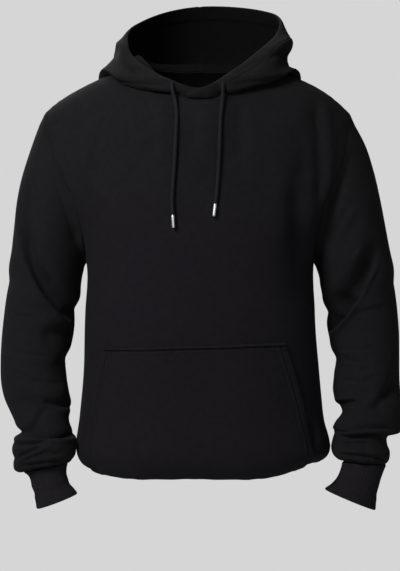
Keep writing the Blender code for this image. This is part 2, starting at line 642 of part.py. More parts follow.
def armhole_loop(angles, sign):
    """The armhole seam, from the shoulder down the front and up the back."""
    turn = np.where(angles <= math.pi, angles, 2 * math.pi - angles) / math.pi
    loops = []
    for side in (-1, 1):
        line, run = armhole_line(side)
        loops.append(np.stack([np.interp(turn, run, line[:, i]) for i in range(3)], -1))
    loop = np.where((angles <= math.pi)[:, None], *loops)
    loop[:, 0] *= sign
    return loop


def sleeve_points(table, sign, angles, long_steps):
    """The outer face of a sleeve, from the armhole seam to the cuff seam."""
    knots = [armhole_loop(angles, sign)]
    knots += [section(table, k, angles, sign) for k in range(len(table) - 1)]
    knots = np.array(knots)
    spread = np.linalg.norm(np.diff(knots, axis=0), axis=2).mean(axis=1)
    places = np.concatenate([[0], np.cumsum(spread)])
    points = through(places, knots, np.linspace(0, places[-1], long_steps + 1))
    seam = points[0]
    along = np.roll(seam, -1, axis=0) - np.roll(seam, 1, axis=0)
    apart = np.cross(along, seam_directions(seam, sign, angles))
    apart *= np.sign((apart * (points[1] - seam)).sum(axis=1, keepdims=True))
    points[0] += ARMHOLE_GAP * apart / np.linalg.norm(apart, axis=1, keepdims=True)
    return points


def seam_directions(seam, sign, angles):
    """Which way the sleeve's cut edge faces, all round the armhole seam."""
    ways = [edge_direction(seam[:, 2], side, sign) for side in (-1, 1)]
    return np.where((angles <= math.pi)[:, None], *ways)


def sleeve_outward(points, sign, angles):
    """Outward directions on a sleeve; its cut edge faces along the armhole seam."""
    outward = -sign * normals_of(points, True)
    outward[0] = seam_directions(points[0], sign, angles)
    return outward


def make_sleeve(name, table, sign, material):
    angles = np.linspace(0, 2 * math.pi, 2 * ARMHOLE_STEPS, endpoint=False)
    outer = sleeve_points(table, sign, angles, SLEEVE_LONG_STEPS)
    outer = folded(outer, sleeve_outward(outer, sign, angles), FOLDS[name])
    inner = outer - sleeve_outward(outer, sign, angles) * WALL
    return wall(name, outer, inner, True, material)


def make_cuff(name, table, sign, material):
    """A rib-knit cuff: the ribs stand on its outer face, its inside is plain."""
    angles = np.linspace(0, 2 * math.pi, 2 * CUFF_RIBS, endpoint=False)
    rows = np.linspace(0, len(table) - 2, CUFF_LONG_STEPS + 1)
    plain = np.array([section(table, k, angles, sign) for k in rows])
    outward = -sign * normals_of(plain, True)
    rib = np.where(np.arange(2 * CUFF_RIBS) % 2 == 0, CUFF_RIB_RISE, 0.0)
    outer = plain + outward * rib[None, :, None]
    inner = plain - outward * RIB_WALL
    return wall(name, outer, inner, True, material)


# ------------------------------------------------------------------ hem band
def hip_loop(shares):
    """The hem seam all round, from the right side across the front and back again."""
    last = len(HEM_ROLL) - 2
    front, back = (rolled_row(side, shares, last) for side in (-1, 1))
    loop = np.concatenate([front[:-1], back[:0:-1]])
    return hem_sag(loop)


def make_hem_band(material):
    """The ribbed band, turned up inside the hem and lying round the hips."""
    seam = hip_loop(across_shares(TORSO_NECK_STEPS, TORSO_SIDE_STEPS))
    rises = np.linspace(SEAM_GAP, BAND_HEIGHT, BAND_LONG_STEPS + 1)
    hips = np.array([seam + np.array([0.0, 0.0, rise]) for rise in rises])
    outward = normals_of(hips, True)
    outward *= np.sign((outward[..., :2] * hips[..., :2]).sum(axis=2, keepdims=True))
    return wall("hem_band", hips + outward * WALL, hips - outward * (RIB_WALL - WALL), True, material)


# ------------------------------------------------------------------ hood
def neckline(angles, steps):
    """The neckline seam of the panels in directions given in degrees from the front."""
    shares = NECK_SHARE * np.sin(np.linspace(-math.pi / 2, math.pi / 2, 2 * steps + 1))
    loop = np.concatenate([shoulder_row(-1, shares, 0.0), shoulder_row(1, shares[1:-1], 0.0)])
    turn = np.degrees(np.arctan2(loop[:, 0], -loop[:, 1]))
    order = np.argsort(turn)
    turn, loop = turn[order], loop[order]
    turn = np.concatenate([turn - 360, turn, turn + 360])
    loop = np.concatenate([loop, loop, loop])
    found = np.stack([np.interp(angles, turn, loop[:, i]) for i in range(3)], -1)
    found[:, 2] += HOOD_LIFT
    return found


def resting(points, angles):
    """The points after they have been raised clear of the shoulders they lie on."""
    x, y = points[..., 0], points[..., 1]
    side = np.where(y < HOOD_RESTS_BEHIND, -1, 1)
    seam = through(column(SHOULDER, "across"), column(SHOULDER, "depth"), np.abs(x))
    z = points[..., 2]
    height = column(TORSO, "height")
    level = shoulder_height(x)
    for _ in range(6):
        drop = np.maximum(shoulder_height(x) - level, 0.0)
        depths = [through(height, column(TORSO, DEPTH_NAME[s]), level) for s in (-1, 1)]
        square = through(height, column(TORSO, "square"), level)
        share = np.clip(np.abs(x) / half_width(level, x), 0.0, 1.0)
        depth = np.where(side < 0, *depths) * (1 - share**square) ** (1 / square)
        turned = np.abs(y - seam * np.exp(-drop / SEAM_FADE)) / depth
        level = shoulder_height(x) - SHOULDER_ROUND * (1 - np.sqrt(np.clip(1 - turned**2, 0.0, 1.0)))
    lift = HOOD_CLEAR / np.sqrt(np.clip(1 - turned**2, 0.02, 1.0))
    raised = points.copy()
    over = np.where(turned < 1.0, np.maximum(level + lift - z, 0.0), 0.0)
    raised[..., 2] += over * eased((angles - HOOD_RESTS_FROM) / HOOD_RESTS_FADE)
    return raised


def hood_line(name, angles, sign):
    """Reach and height of one line round the hood, for a half's own angles from the front."""
    reach, height = row(HOOD_REACH, name), row(HOOD_HEIGHT, name)
    lean = np.zeros(8)
    if any(r[0] == name for r in HOOD_LEAN[1:]):
        lean = sign * row(HOOD_LEAN, name)
    turns = (-HOOD_ANGLES[1], *HOOD_ANGLES, 360 - HOOD_ANGLES[-2])
    found = []
    for level, change in ((reach, lean[:4]), (height, lean[4:])):
        own = level.copy()
        own[1:5] += change
        found.append(through(turns, (level[1] - change[0], *own, level[-2] - change[3]), angles))
    return found


def hood_points(sign, angles, shares, neck_steps):
    """The outer face of a hood half, from the neckline seam to the rim."""
    way = np.radians(angles)
    lines = [neckline(sign * angles, neck_steps)]
    for name in (r[0] for r in HOOD_REACH[1:]):
        reach, height = hood_line(name, angles, sign)
        lines.append(np.stack([sign * reach * np.sin(way), -reach * np.cos(way), height], -1))
    lines = np.array(lines)
    radial = np.stack([sign * np.sin(way), -np.cos(way), 0 * way], -1)
    place = np.linspace(0, 1, len(lines))[:, None, None]
    upright = lines[0] + (lines[-1] - lines[0]) * place + radial * HOOD_SWELL * np.sin(math.pi * place)
    fading = eased((np.abs(angles) - HOOD_UPRIGHT_TO) / HOOD_UPRIGHT_FADE)
    lines += (upright - lines) * (1 - fading)[None, :, None]
    cuts = ((HOOD_UNDERLAP, HOOD_UNDERLAP_CUT), (HOOD_OVERLAP, HOOD_OVERLAP_CUT))
    lap, cut = cuts[sign > 0]
    reached = 1 - cut * np.clip(-angles / lap, 0.0, 1.0) ** 0.8
    grid = np.empty((len(shares), len(angles), 3))
    for c in range(len(angles)):
        run = np.linalg.norm(np.diff(lines[:, c], axis=0), axis=1)
        places = np.concatenate([[0], np.cumsum(run)])
        grid[:, c] = through(places, lines[:, c], shares * reached[c] * places[-1])
    grid[1:] = resting(grid[1:], angles)
    if sign > 0:
        lifted_to = HOOD_UNDERLAP + HOOD_LAP_FLAT + HOOD_LAP_FADE
        grid += radial * (HOOD_LAP_LIFT * eased((lifted_to - angles) / HOOD_LAP_FADE))[:, None]
    grid[..., 0] += sign * SEAM_HALF * (angles > 179.9)
    return grid


def hood_outward(points, sign):
    """Outward directions on a hood half; its edge at the crown seam faces along the seam."""
    outward = -sign * normals_of(points, False)
    outward[:, -1, 0] = 0.0
    return outward / np.linalg.norm(outward, axis=2, keepdims=True)


def hood_angles(sign, steps):
    """Directions of a hood half's columns, closer together at the front."""
    start = -HOOD_OVERLAP if sign > 0 else -HOOD_UNDERLAP
    t = np.linspace(0, 1, steps + 1)
    return start + (180 - start) * (0.75 * t + 0.25 * t**2)


def make_hood_half(name, sign, material):
    shares = np.linspace(0, 1, HOOD_LONG_STEPS + 1)
    outer = hood_points(sign, hood_angles(sign, HOOD_ROUND_STEPS), shares, TORSO_NECK_STEPS)
    inner = outer - hood_outward(outer, sign) * WALL
    return wall(name, outer, inner, False, material)


# ------------------------------------------------------------------ pocket
def pocket_shell(shares, armhole_steps, seam_steps, roll_steps):
    """The front panel's own points under the pocket, and their outward directions."""
    outer, outward = front_shell(shares, armhole_steps, seam_steps, roll_steps)
    inside = np.abs(shares) < POCKET_COLUMN + 1e-6
    waist = column(HEM_ROLL, "height")[0]
    seam_rows = np.linspace(column(ARMHOLE, "height")[-1], waist, seam_steps + 1)
    first = armhole_steps + int(np.argmax(seam_rows < POCKET_TOP[-1] - POCKET_TOP_CLEAR))
    last = len(outer) - roll_steps + int(POCKET_END * roll_steps)
    points, ways = outer[first:last, inside], outward[first:last, inside]
    across = shares[inside]
    top_z = np.interp(across, (-POCKET_COLUMN, POCKET_COLUMN), POCKET_TOP)
    above, below = outer[first - 1, inside], points[0]
    part_way = (top_z - below[:, 2]) / (above[:, 2] - below[:, 2])
    top = below + (above - below) * part_way[:, None]
    top_way = ways[0] + (outward[first - 1, inside] - ways[0]) * part_way[:, None]
    points = np.concatenate([top[None], points])
    ways = np.concatenate([top_way[None], ways])
    return points, ways / np.linalg.norm(ways, axis=2, keepdims=True)


def make_pocket(material):
    shares = across_shares(TORSO_NECK_STEPS, TORSO_SIDE_STEPS)
    under, outward = pocket_shell(shares, ARMHOLE_STEPS, TORSO_SIDE_SEAM_STEPS, TORSO_ROLL_STEPS)
    inner = under + outward * POCKET_GAP
    return wall("pocket", inner + outward * WALL, inner, False, material)


# ------------------------------------------------------------------ drawcords
def make_cord(name, route, material):
    """A round cord laid through a route, as a curve with filled ends."""
    route = np.array(route, float)
    run = np.concatenate([[0], np.cumsum(np.linalg.norm(np.diff(route, axis=0), axis=1))])
    count = int(run[-1] / (CORD_STEP * 2 * CORD_RADIUS)) + 2
    line = through(run, route, np.linspace(0, run[-1], count))
    curve = bpy.data.curves.new(name, "CURVE")
    curve.dimensions = "3D"
    curve.bevel_depth = CORD_RADIUS
    curve.bevel_resolution = 2
    curve.use_fill_caps = True
    spline = curve.splines.new("POLY")
    spline.points.add(len(line) - 1)
    for point, place in zip(spline.points, line):
        point.co = (*place, 1.0)
    curve.materials.append(material)
    cord = bpy.data.objects.new(name, curve)
    bpy.context.collection.objects.link(cord)
    return cord


def make_tip(name, route, material):
    """The metal tip on a cord's free end."""
    end, before = Vector(route[-1]), Vector(route[-2])
    direction = (end - before).normalized()
    bm = bmesh.new()
    bmesh.ops.create_cone(
        bm, cap_ends=True, segments=16, radius1=TIP_RADIUS, radius2=TIP_RADIUS, depth=TIP_LENGTH
    )
    rims = [e for e in bm.edges if abs(e.verts[0].co.z - e.verts[1].co.z) < 1e-6]
    bmesh.ops.bevel(bm, geom=rims, offset=0.0005, segments=2, profile=0.5, affect="EDGES")
    mesh = bpy.data.meshes.new(name)
    bm.to_mesh(mesh)
    bm.free()
    mesh.shade_smooth()
    mesh.set_sharp_from_angle(angle=math.radians(40))
    mesh.materials.append(material)
    tip = bpy.data.objects.new(name, mesh)
    tip.rotation_euler = direction.to_track_quat("Z", "Y").to_euler()
    tip.location = end + direction * (SEAM_GAP + TIP_LENGTH / 2)
    bpy.context.collection.objects.link(tip)
    return tip


# ------------------------------------------------------------------ materials and build
def material(name, colour, roughness, metallic=0.0):
    made = bpy.data.materials.new(name)
    made.use_nodes = True
    shader = made.node_tree.nodes["Principled BSDF"]
    shader.inputs["Base Color"].default_value = (*colour, 1.0)
    shader.inputs["Roughness"].default_value = roughness
    shader.inputs["Metallic"].default_value = metallic
    return made


def main():
    for old in list(bpy.data.objects):
        bpy.data.objects.remove(old, do_unlink=True)
    fleece = material("black_fleece", (0.0090, 0.0088, 0.0086), 0.95)
    rib = material("black_rib_knit", (0.0085, 0.0083, 0.0081), 0.95)
    cord = material("black_cord", (0.020, 0.020, 0.021), 0.85)
    metal = material("silver_tip", (0.78, 0.78, 0.78), 0.25, 1.0)
    make_panel("front", -1, fleece)
    make_panel("back", 1, fleece)
    make_sleeve("sleeve_left", SLEEVE_LEFT, 1, fleece)
    make_sleeve("sleeve_right", SLEEVE_RIGHT, -1, fleece)
    make_cuff("cuff_left", CUFF_LEFT, 1, rib)
    make_cuff("cuff_right", CUFF_RIGHT, -1, rib)
    make_hem_band(rib)
    make_hood_half("hood_left", 1, fleece)
    make_hood_half("hood_right", -1, fleece)
    make_pocket(fleece)
    make_cord("drawcord_left", CORD_LEFT_ROUTE, cord)
    make_cord("drawcord_right", CORD_RIGHT_ROUTE, cord)
    make_tip("cord_tip_left", CORD_LEFT_ROUTE, metal)
    make_tip("cord_tip_right", CORD_RIGHT_ROUTE, metal)


main()
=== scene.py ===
"""The looks of the black pullover hoodie: its cloth with creases, seams and stitches.

Metres, +Z up, +X to the wearer's left, the front faces -Y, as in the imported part. The
cloth pieces follow the same tables as the part's own, laid out more finely.
"""

import math

import bmesh
import bpy
import numpy as np
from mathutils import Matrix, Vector, noise


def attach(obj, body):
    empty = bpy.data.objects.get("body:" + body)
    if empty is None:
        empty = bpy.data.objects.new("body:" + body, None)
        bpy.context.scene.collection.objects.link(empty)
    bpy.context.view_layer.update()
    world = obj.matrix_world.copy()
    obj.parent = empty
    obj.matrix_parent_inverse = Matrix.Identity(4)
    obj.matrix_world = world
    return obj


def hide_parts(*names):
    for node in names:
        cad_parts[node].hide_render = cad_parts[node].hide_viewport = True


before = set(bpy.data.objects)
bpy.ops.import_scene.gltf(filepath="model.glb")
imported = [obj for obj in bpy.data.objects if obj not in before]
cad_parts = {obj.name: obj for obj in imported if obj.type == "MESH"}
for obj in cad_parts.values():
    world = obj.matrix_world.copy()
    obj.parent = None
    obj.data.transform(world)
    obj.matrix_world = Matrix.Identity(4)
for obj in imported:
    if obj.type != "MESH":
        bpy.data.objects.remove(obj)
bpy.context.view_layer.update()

# ------------------------------------------------------------------ driving sizes
WALL = 0.0023  # fleece
RIB_WALL = 0.0027  # doubled rib knit of the cuffs and the hem band
SEAM_GAP = 0.0003  # left between two pieces
SEAM_HALF = SEAM_GAP / 8  # the sewn edges all but touch
SHOULDER_ROUND = 0.130  # radius with which the shoulder turns down to the chest
SHOULDER_END = 0.239  # how far out the shoulder seam meets the sleeve
SEAM_FADE = 0.12  # how far down the shoulder seam's forward place still tells
NECK_HALF = 0.085  # half the neck's width on the shoulder line
NECK_FRONT_DROP = 0.082  # how far the neckline dips in front
NECK_BACK_DROP = 0.022  # and behind
SCOOP_SOFTENS = 1.5  # the rows below the neckline lose its round ends
SCOOP_SOFT_AT = 0.15  # at this share of the armhole's length
HEM_SAG = 0.005  # the front of the hem hangs lower than its sides
SAG_FROM = -0.46  # the height below which it does
SAG_OVER = 0.10
SAG_DEPTH = 0.15  # this far in front of the middle the hem sinks by all of its sag
HEM_SQUARE = 2.6  # how square the hem is in plan: 2 is an ellipse
SCOOP_ROUND = 0.5  # the shape of the neckline itself: 0.5 is an ellipse
BAND_HEIGHT = 0.060  # the hem band, turned up inside the hem
CUFF_RIBS = 40  # round each cuff
CUFF_RIB_RISE = 0.00035
CORD_RADIUS = 0.0028
TIP_LENGTH = 0.019
TIP_RADIUS = 0.0027
POCKET_GAP = 0.0004  # between the pocket and the front
POCKET_LEAD_FROM = -0.29  # below this the panels' columns swing over to the pocket's sides
POCKET_LEAD_OVER = 0.10
ARMHOLE_GAP = 0.0005  # between the panels and the sleeve along their seam
HOOD_CLEAR = 0.0023  # how far the hood lies off the shoulders
DEPTH_NAME = {-1: "front", 1: "back"}

# The shoulder line from the neck to the arm: distance from the middle, height, depth place.
SHOULDER = (
    ("across", "height", "depth"),
    (0.000, 0.0520, 0.014),
    (0.050, 0.0440, 0.013),
    (0.085, 0.0330, 0.012),
    (0.120, 0.0220, 0.009),
    (0.150, 0.0115, 0.006),
    (0.183, -0.0040, 0.003),
    (0.200, -0.0135, 0.002),
    (0.215, -0.0230, 0.001),
    (0.228, -0.0330, 0.000),
    (0.239, -0.0426, 0.000),
    (0.270, -0.0750, 0.000),
)

# Level sections of the body, from the shoulders to the fullest place above the hem.
TORSO = (
    ("height", "half_left", "half_right", "front", "back", "square"),
    (0.060, 0.300, 0.300, 0.118, 0.104, 2.00),
    (0.000, 0.292, 0.292, 0.127, 0.112, 2.00),
    (-0.043, 0.285, 0.285, 0.132, 0.118, 2.00),
    (-0.072, 0.267, 0.267, 0.135, 0.122, 2.00),
    (-0.120, 0.257, 0.257, 0.139, 0.126, 2.02),
    (-0.158, 0.240, 0.240, 0.142, 0.128, 2.10),
    (-0.189, 0.217, 0.217, 0.144, 0.128, 2.25),
    (-0.220, 0.195, 0.195, 0.145, 0.127, 2.40),
    (-0.256, 0.1785, 0.1785, 0.146, 0.125, 2.50),
    (-0.2752, 0.1755, 0.1755, 0.146, 0.124, 2.55),
    (-0.350, 0.1770, 0.1770, 0.146, 0.120, 2.60),
    (-0.420, 0.1820, 0.1785, 0.145, 0.121, 2.60),
    (-0.480, 0.1870, 0.1825, 0.147, 0.126, 2.60),
    (-0.520, 0.1920, 0.1870, 0.151, 0.131, 2.60),
    (-0.545, 0.1990, 0.1910, 0.155, 0.135, 2.60),
    (-0.557, 0.2010, 0.1920, 0.156, 0.136, 2.60),
)

# Where the armhole seam crosses each level, as a share of the half width there, and which
# way the cut edges of the panel and the sleeve face there: out, forward and up.
ARMHOLE = (
    ("height", "share", "out", "forward", "up"),
    (-0.0426, 0.8386, 0.78, 0.00, 0.62),
    (-0.0718, 0.8715, 0.75, 0.45, 0.48),
    (-0.1200, 0.8500, 0.60, 0.76, 0.25),
    (-0.1580, 0.8415, 0.50, 0.86, 0.10),
    (-0.1890, 0.8688, 0.55, 0.83, 0.00),
    (-0.2200, 0.9276, 0.66, 0.72, -0.20),
    (-0.2560, 0.9838, 0.73, 0.40, -0.55),
    (-0.2752, 1.0000, 0.72, 0.00, -0.69),
)

# The hem rolls under: how far in from the fullest line, and how high, down to the seam.
HEM_ROLL = (
    ("inset", "height"),
    (0.0000, -0.5570),
    (0.0015, -0.5680),
    (0.0060, -0.5790),
    (0.0130, -0.5880),
    (0.0200, -0.5905),
    (0.0260, -0.5870),
    (0.0290, -0.5800),
    (0.0300, -0.5720),
)

# Sections of the sleeves below the armhole seam. Each gives the outer and the inner end of
# the section seen from the front, the depth of its middle and half its depth.
SLEEVE_COLUMNS = ("outer_x", "outer_z", "inner_x", "inner_z", "middle_y", "half_depth", "square")
SLEEVE_LEFT = (
    SLEEVE_COLUMNS,
    (0.2470, -0.0600, 0.1775, -0.2765, 0.000, 0.072, 2.00),
    (0.2540, -0.0767, 0.1790, -0.2790, 0.000, 0.073, 2.00),
    (0.2680, -0.1279, 0.1815, -0.2870, 0.000, 0.075, 2.05),
    (0.2784, -0.1775, 0.1845, -0.2975, 0.000, 0.075, 2.10),
    (0.2869, -0.2208, 0.1866, -0.3108, 0.002, 0.073, 2.15),
    (0.2948, -0.2611, 0.1908, -0.3263, 0.003, 0.070, 2.20),
    (0.3025, -0.3030, 0.1947, -0.3449, 0.002, 0.068, 2.20),
    (0.3054, -0.3371, 0.1953, -0.3666, 0.000, 0.066, 2.20),
    (0.3073, -0.3758, 0.2020, -0.3944, -0.004, 0.063, 2.20),
    (0.3074, -0.4127, 0.2078, -0.4220, -0.010, 0.060, 2.20),
    (0.3074, -0.4464, 0.2065, -0.4494, -0.018, 0.057, 2.20),
    (0.3080, -0.4736, 0.2051, -0.4721, -0.027, 0.054, 2.20),
    (0.3082, -0.4947, 0.2092, -0.4885, -0.034, 0.052, 2.20),
    (0.3076, -0.5111, 0.2168, -0.5035, -0.040, 0.050, 2.20),
    (0.3072, -0.5245, 0.2061, -0.5184, -0.045, 0.051, 2.20),
    (0.3025, -0.5342, 0.2006, -0.5281, -0.048, 0.051, 2.20),
    (0.2872, -0.5415, 0.2040, -0.5370, -0.051, 0.047, 2.20),
    (0.2852, -0.5505, 0.2010, -0.5460, -0.053, 0.047, 2.20),
    (0.2885, -0.5620, 0.1993, -0.5572, -0.056, 0.047, 2.20),
    (0.2875, -0.5725, 0.2032, -0.5683, -0.059, 0.044, 2.20),
    (0.2840, -0.5785, 0.2125, -0.5745, -0.061, 0.036, 2.20),
    (0.2815, -0.5798, 0.2175, -0.5752, -0.062, 0.0295, 2.20),
)
SLEEVE_RIGHT = (
    SLEEVE_COLUMNS,
    (0.2472, -0.0600, 0.1775, -0.2765, 0.000, 0.072, 2.00),
    (0.2542, -0.0767, 0.1788, -0.2790, 0.000, 0.073, 2.00),
    (0.2728, -0.1310, 0.1806, -0.2870, 0.000, 0.075, 2.05),
    (0.2830, -0.1775, 0.1826, -0.2960, 0.000, 0.075, 2.10),
    (0.2890, -0.2239, 0.1845, -0.3080, 0.002, 0.073, 2.15),
    (0.2940, -0.2735, 0.1862, -0.3216, 0.003, 0.070, 2.20),
    (0.2993, -0.3170, 0.1892, -0.3371, 0.002, 0.068, 2.20),
    (0.3030, -0.3557, 0.1914, -0.3573, 0.000, 0.066, 2.20),
    (0.3065, -0.3944, 0.1958, -0.3851, -0.004, 0.063, 2.20),
    (0.3082, -0.4282, 0.2039, -0.4158, -0.010, 0.060, 2.20),
    (0.3066, -0.4587, 0.2049, -0.4464, -0.018, 0.057, 2.20),
    (0.2995, -0.4843, 0.2005, -0.4736, -0.027, 0.054, 2.20),
    (0.2904, -0.5023, 0.1962, -0.4931, -0.034, 0.052, 2.20),
    (0.2829, -0.5172, 0.2003, -0.5080, -0.040, 0.049, 2.20),
    (0.2785, -0.5315, 0.1990, -0.5199, -0.045, 0.047, 2.20),
    (0.2840, -0.5440, 0.1930, -0.5318, -0.049, 0.050, 2.20),
    (0.2863, -0.5574, 0.1896, -0.5452, -0.053, 0.052, 2.20),
    (0.2844, -0.5709, 0.1890, -0.5587, -0.056, 0.051, 2.20),
    (0.2800, -0.5828, 0.1910, -0.5691, -0.059, 0.047, 2.20),
    (0.2725, -0.5895, 0.1965, -0.5755, -0.061, 0.040, 2.20),
    (0.2655, -0.5896, 0.2015, -0.5762, -0.062, 0.0295, 2.20),
)
CUFF_LEFT = (
    SLEEVE_COLUMNS,
    (0.2823, -0.5810, 0.2171, -0.5764, -0.062, 0.029, 2.20),
    (0.2776, -0.5929, 0.2131, -0.5899, -0.064, 0.028, 2.20),
    (0.2720, -0.6078, 0.2076, -0.6017, -0.067, 0.028, 2.15),
    (0.2671, -0.6270, 0.1998, -0.6096, -0.071, 0.029, 2.05),
    (0.2651, -0.6476, 0.1894, -0.6159, -0.076, 0.031, 1.95),
)
CUFF_RIGHT = (
    SLEEVE_COLUMNS,
    (0.2649, -0.5908, 0.2011, -0.5772, -0.062, 0.029, 2.20),
    (0.2586, -0.6005, 0.2025, -0.5899, -0.064, 0.028, 2.20),
    (0.2541, -0.6135, 0.2015, -0.6017, -0.067, 0.028, 2.15),
    (0.2497, -0.6286, 0.1961, -0.6112, -0.071, 0.029, 2.05),
    (0.2467, -0.6458, 0.1858, -0.6227, -0.076, 0.031, 1.95),
)

# The hood stands round the neck. Each row is a line round it, from the neckline seam to the
# rim: how far it reaches from the neck's middle, and how high, in six directions.
HOOD_DIRECTIONS = ("front", "quarter", "corner", "side", "rear", "back")
HOOD_ANGLES = (0.0, 24.0, 50.0, 90.0, 132.0, 180.0)  # degrees from the front
HOOD_REACH = (
    ("line",) + HOOD_DIRECTIONS,
    ("stand", 0.1150, 0.1115, 0.0960, 0.0925, 0.1040, 0.0930),
    ("trough", 0.1158, 0.1150, 0.1185, 0.1220, 0.1290, 0.1310),
    ("roll", 0.1166, 0.1195, 0.1310, 0.1440, 0.1680, 0.1700),
    ("bulge", 0.1174, 0.1240, 0.1380, 0.1540, 0.1830, 0.1950),
    ("fold", 0.1178, 0.1250, 0.1355, 0.1320, 0.1760, 0.2000),
    ("crown", 0.1178, 0.1200, 0.1230, 0.1370, 0.1680, 0.1980),
    ("rim", 0.1170, 0.1070, 0.1025, 0.1165, 0.1470, 0.1650),
)
HOOD_HEIGHT = (
    ("line",) + HOOD_DIRECTIONS,
    ("stand", -0.0285, -0.0140, 0.0175, 0.0440, 0.0400, 0.0420),
    ("trough", -0.0270, -0.0195, 0.0050, 0.0290, 0.0060, -0.0550),
    ("roll", -0.0252, -0.0222, -0.0095, 0.0155, -0.0480, -0.1250),
    ("bulge", -0.0232, -0.0190, -0.0040, 0.0215, -0.0250, -0.0950),
    ("fold", -0.0210, -0.0120, 0.0080, 0.0460, 0.0150, -0.0350),
    ("crown", -0.0185, -0.0030, 0.0190, 0.0670, 0.0640, 0.0600),
    ("rim", -0.0158, 0.0045, 0.0285, 0.0710, 0.1170, 0.1450),
)
# The wearer's left half stands higher and fuller: half the difference between the halves.
HOOD_LEAN = (
    ("line", "reach_quarter", "reach_corner", "reach_side", "reach_rear",
     "height_quarter", "height_corner", "height_side", "height_rear"),
    ("roll", 0.000, 0.000, 0.000, 0.000, 0.000, 0.003, 0.001, 0.000),
    ("fold", 0.000, 0.000, 0.003, 0.002, 0.002, 0.004, -0.007, -0.004),
    ("crown", -0.001, -0.001, 0.005, 0.004, 0.003, 0.006, 0.003, 0.002),
    ("rim", -0.004, -0.006, 0.001, 0.011, 0.005, 0.0065, 0.007, 0.009),
)
HOOD_OVERLAP = 9.0  # degrees by which the left half crosses the middle, over the right one
HOOD_UNDERLAP = 5.0  # degrees by which the right half goes on beneath it
HOOD_OVERLAP_CUT = 0.72  # how much of its height the left half has lost at that end
HOOD_UNDERLAP_CUT = 0.30
HOOD_LAP_CLEAR = 0.0016  # between the two laps
HOOD_LAP_LIFT = WALL + HOOD_LAP_CLEAR
HOOD_LAP_FLAT = 2.0  # degrees past the right half's end over which the left one stays lifted
HOOD_LAP_FADE = 8.0
HOOD_SWELL = 0.0025  # how far the hood swells where its halves cross at the front
HOOD_UPRIGHT_TO = 9.0  # up to this many degrees from the front the hood stands straight up
HOOD_UPRIGHT_FADE = 14.0
HOOD_RESTS_FROM = 14.0  # from this many degrees on the hood lies on the shoulders
HOOD_RESTS_FADE = 20.0
HOOD_RESTS_BEHIND = 0.012  # behind this depth place it lies on the back panel
HOOD_LIFT = -0.0008  # the hood's lower edge is sewn down onto the neckline of the panels
HOOD_CUT_CURVE = 0.8  # how the height lost towards the laps' ends is spread along them
HOOD_SEAM_FROM = 179.9  # degrees; columns past this lie on the crown seam
HOOD_FRONT_CROWDING = 0.25  # more columns towards the front
HOOD_STEEPEST = 0.02  # keeps the clearance finite where the shoulders turn upright
RESTING_ROUNDS = 6

# The pouch pocket on the front panel: the heights of the ends of its top edge, on the
# wearer's right and left, and its sides as shares of the body's half width.
POCKET_TOP = (-0.4035, -0.3960)
POCKET_END = 0.575  # the share of the hem's roll at which the pocket's lower edge ends
POCKET_SIDE = (
    ("height", "left_share", "right_share"),
    (-0.3980, 0.700, 0.785),
    (-0.4300, 0.745, 0.825),
    (-0.4600, 0.783, 0.853),
    (-0.4900, 0.812, 0.873),
    (-0.5200, 0.830, 0.886),
    (-0.5570, 0.835, 0.893),
)

# Routes of the drawcords, from the eyelet in the hood down over the chest.
CORD_LEFT_ROUTE = (
    (0.0342, -0.1160, -0.0125),
    (0.0340, -0.1167, -0.0200),
    (0.0334, -0.1186, -0.0290),
    (0.0325, -0.1222, -0.0415),
    (0.0310, -0.1267, -0.0560),
    (0.0301, -0.1312, -0.0700),
    (0.0295, -0.1346, -0.0850),
    (0.0288, -0.1372, -0.1030),
    (0.0280, -0.1397, -0.1250),
    (0.0266, -0.1423, -0.1480),
    (0.0251, -0.1444, -0.1692),
    (0.0226, -0.1462, -0.1890),
)
CORD_RIGHT_ROUTE = (
    (-0.0417, -0.1182, -0.0135),
    (-0.0406, -0.1187, -0.0210),
    (-0.0382, -0.1198, -0.0300),
    (-0.0358, -0.1226, -0.0420),
    (-0.0345, -0.1267, -0.0560),
    (-0.0350, -0.1314, -0.0710),
    (-0.0357, -0.1344, -0.0860),
    (-0.0366, -0.1374, -0.1050),
    (-0.0384, -0.1412, -0.1396),
    (-0.0402, -0.1438, -0.1640),
    (-0.0412, -0.1458, -0.1860),
    (-0.0402, -0.1474, -0.2060),
)

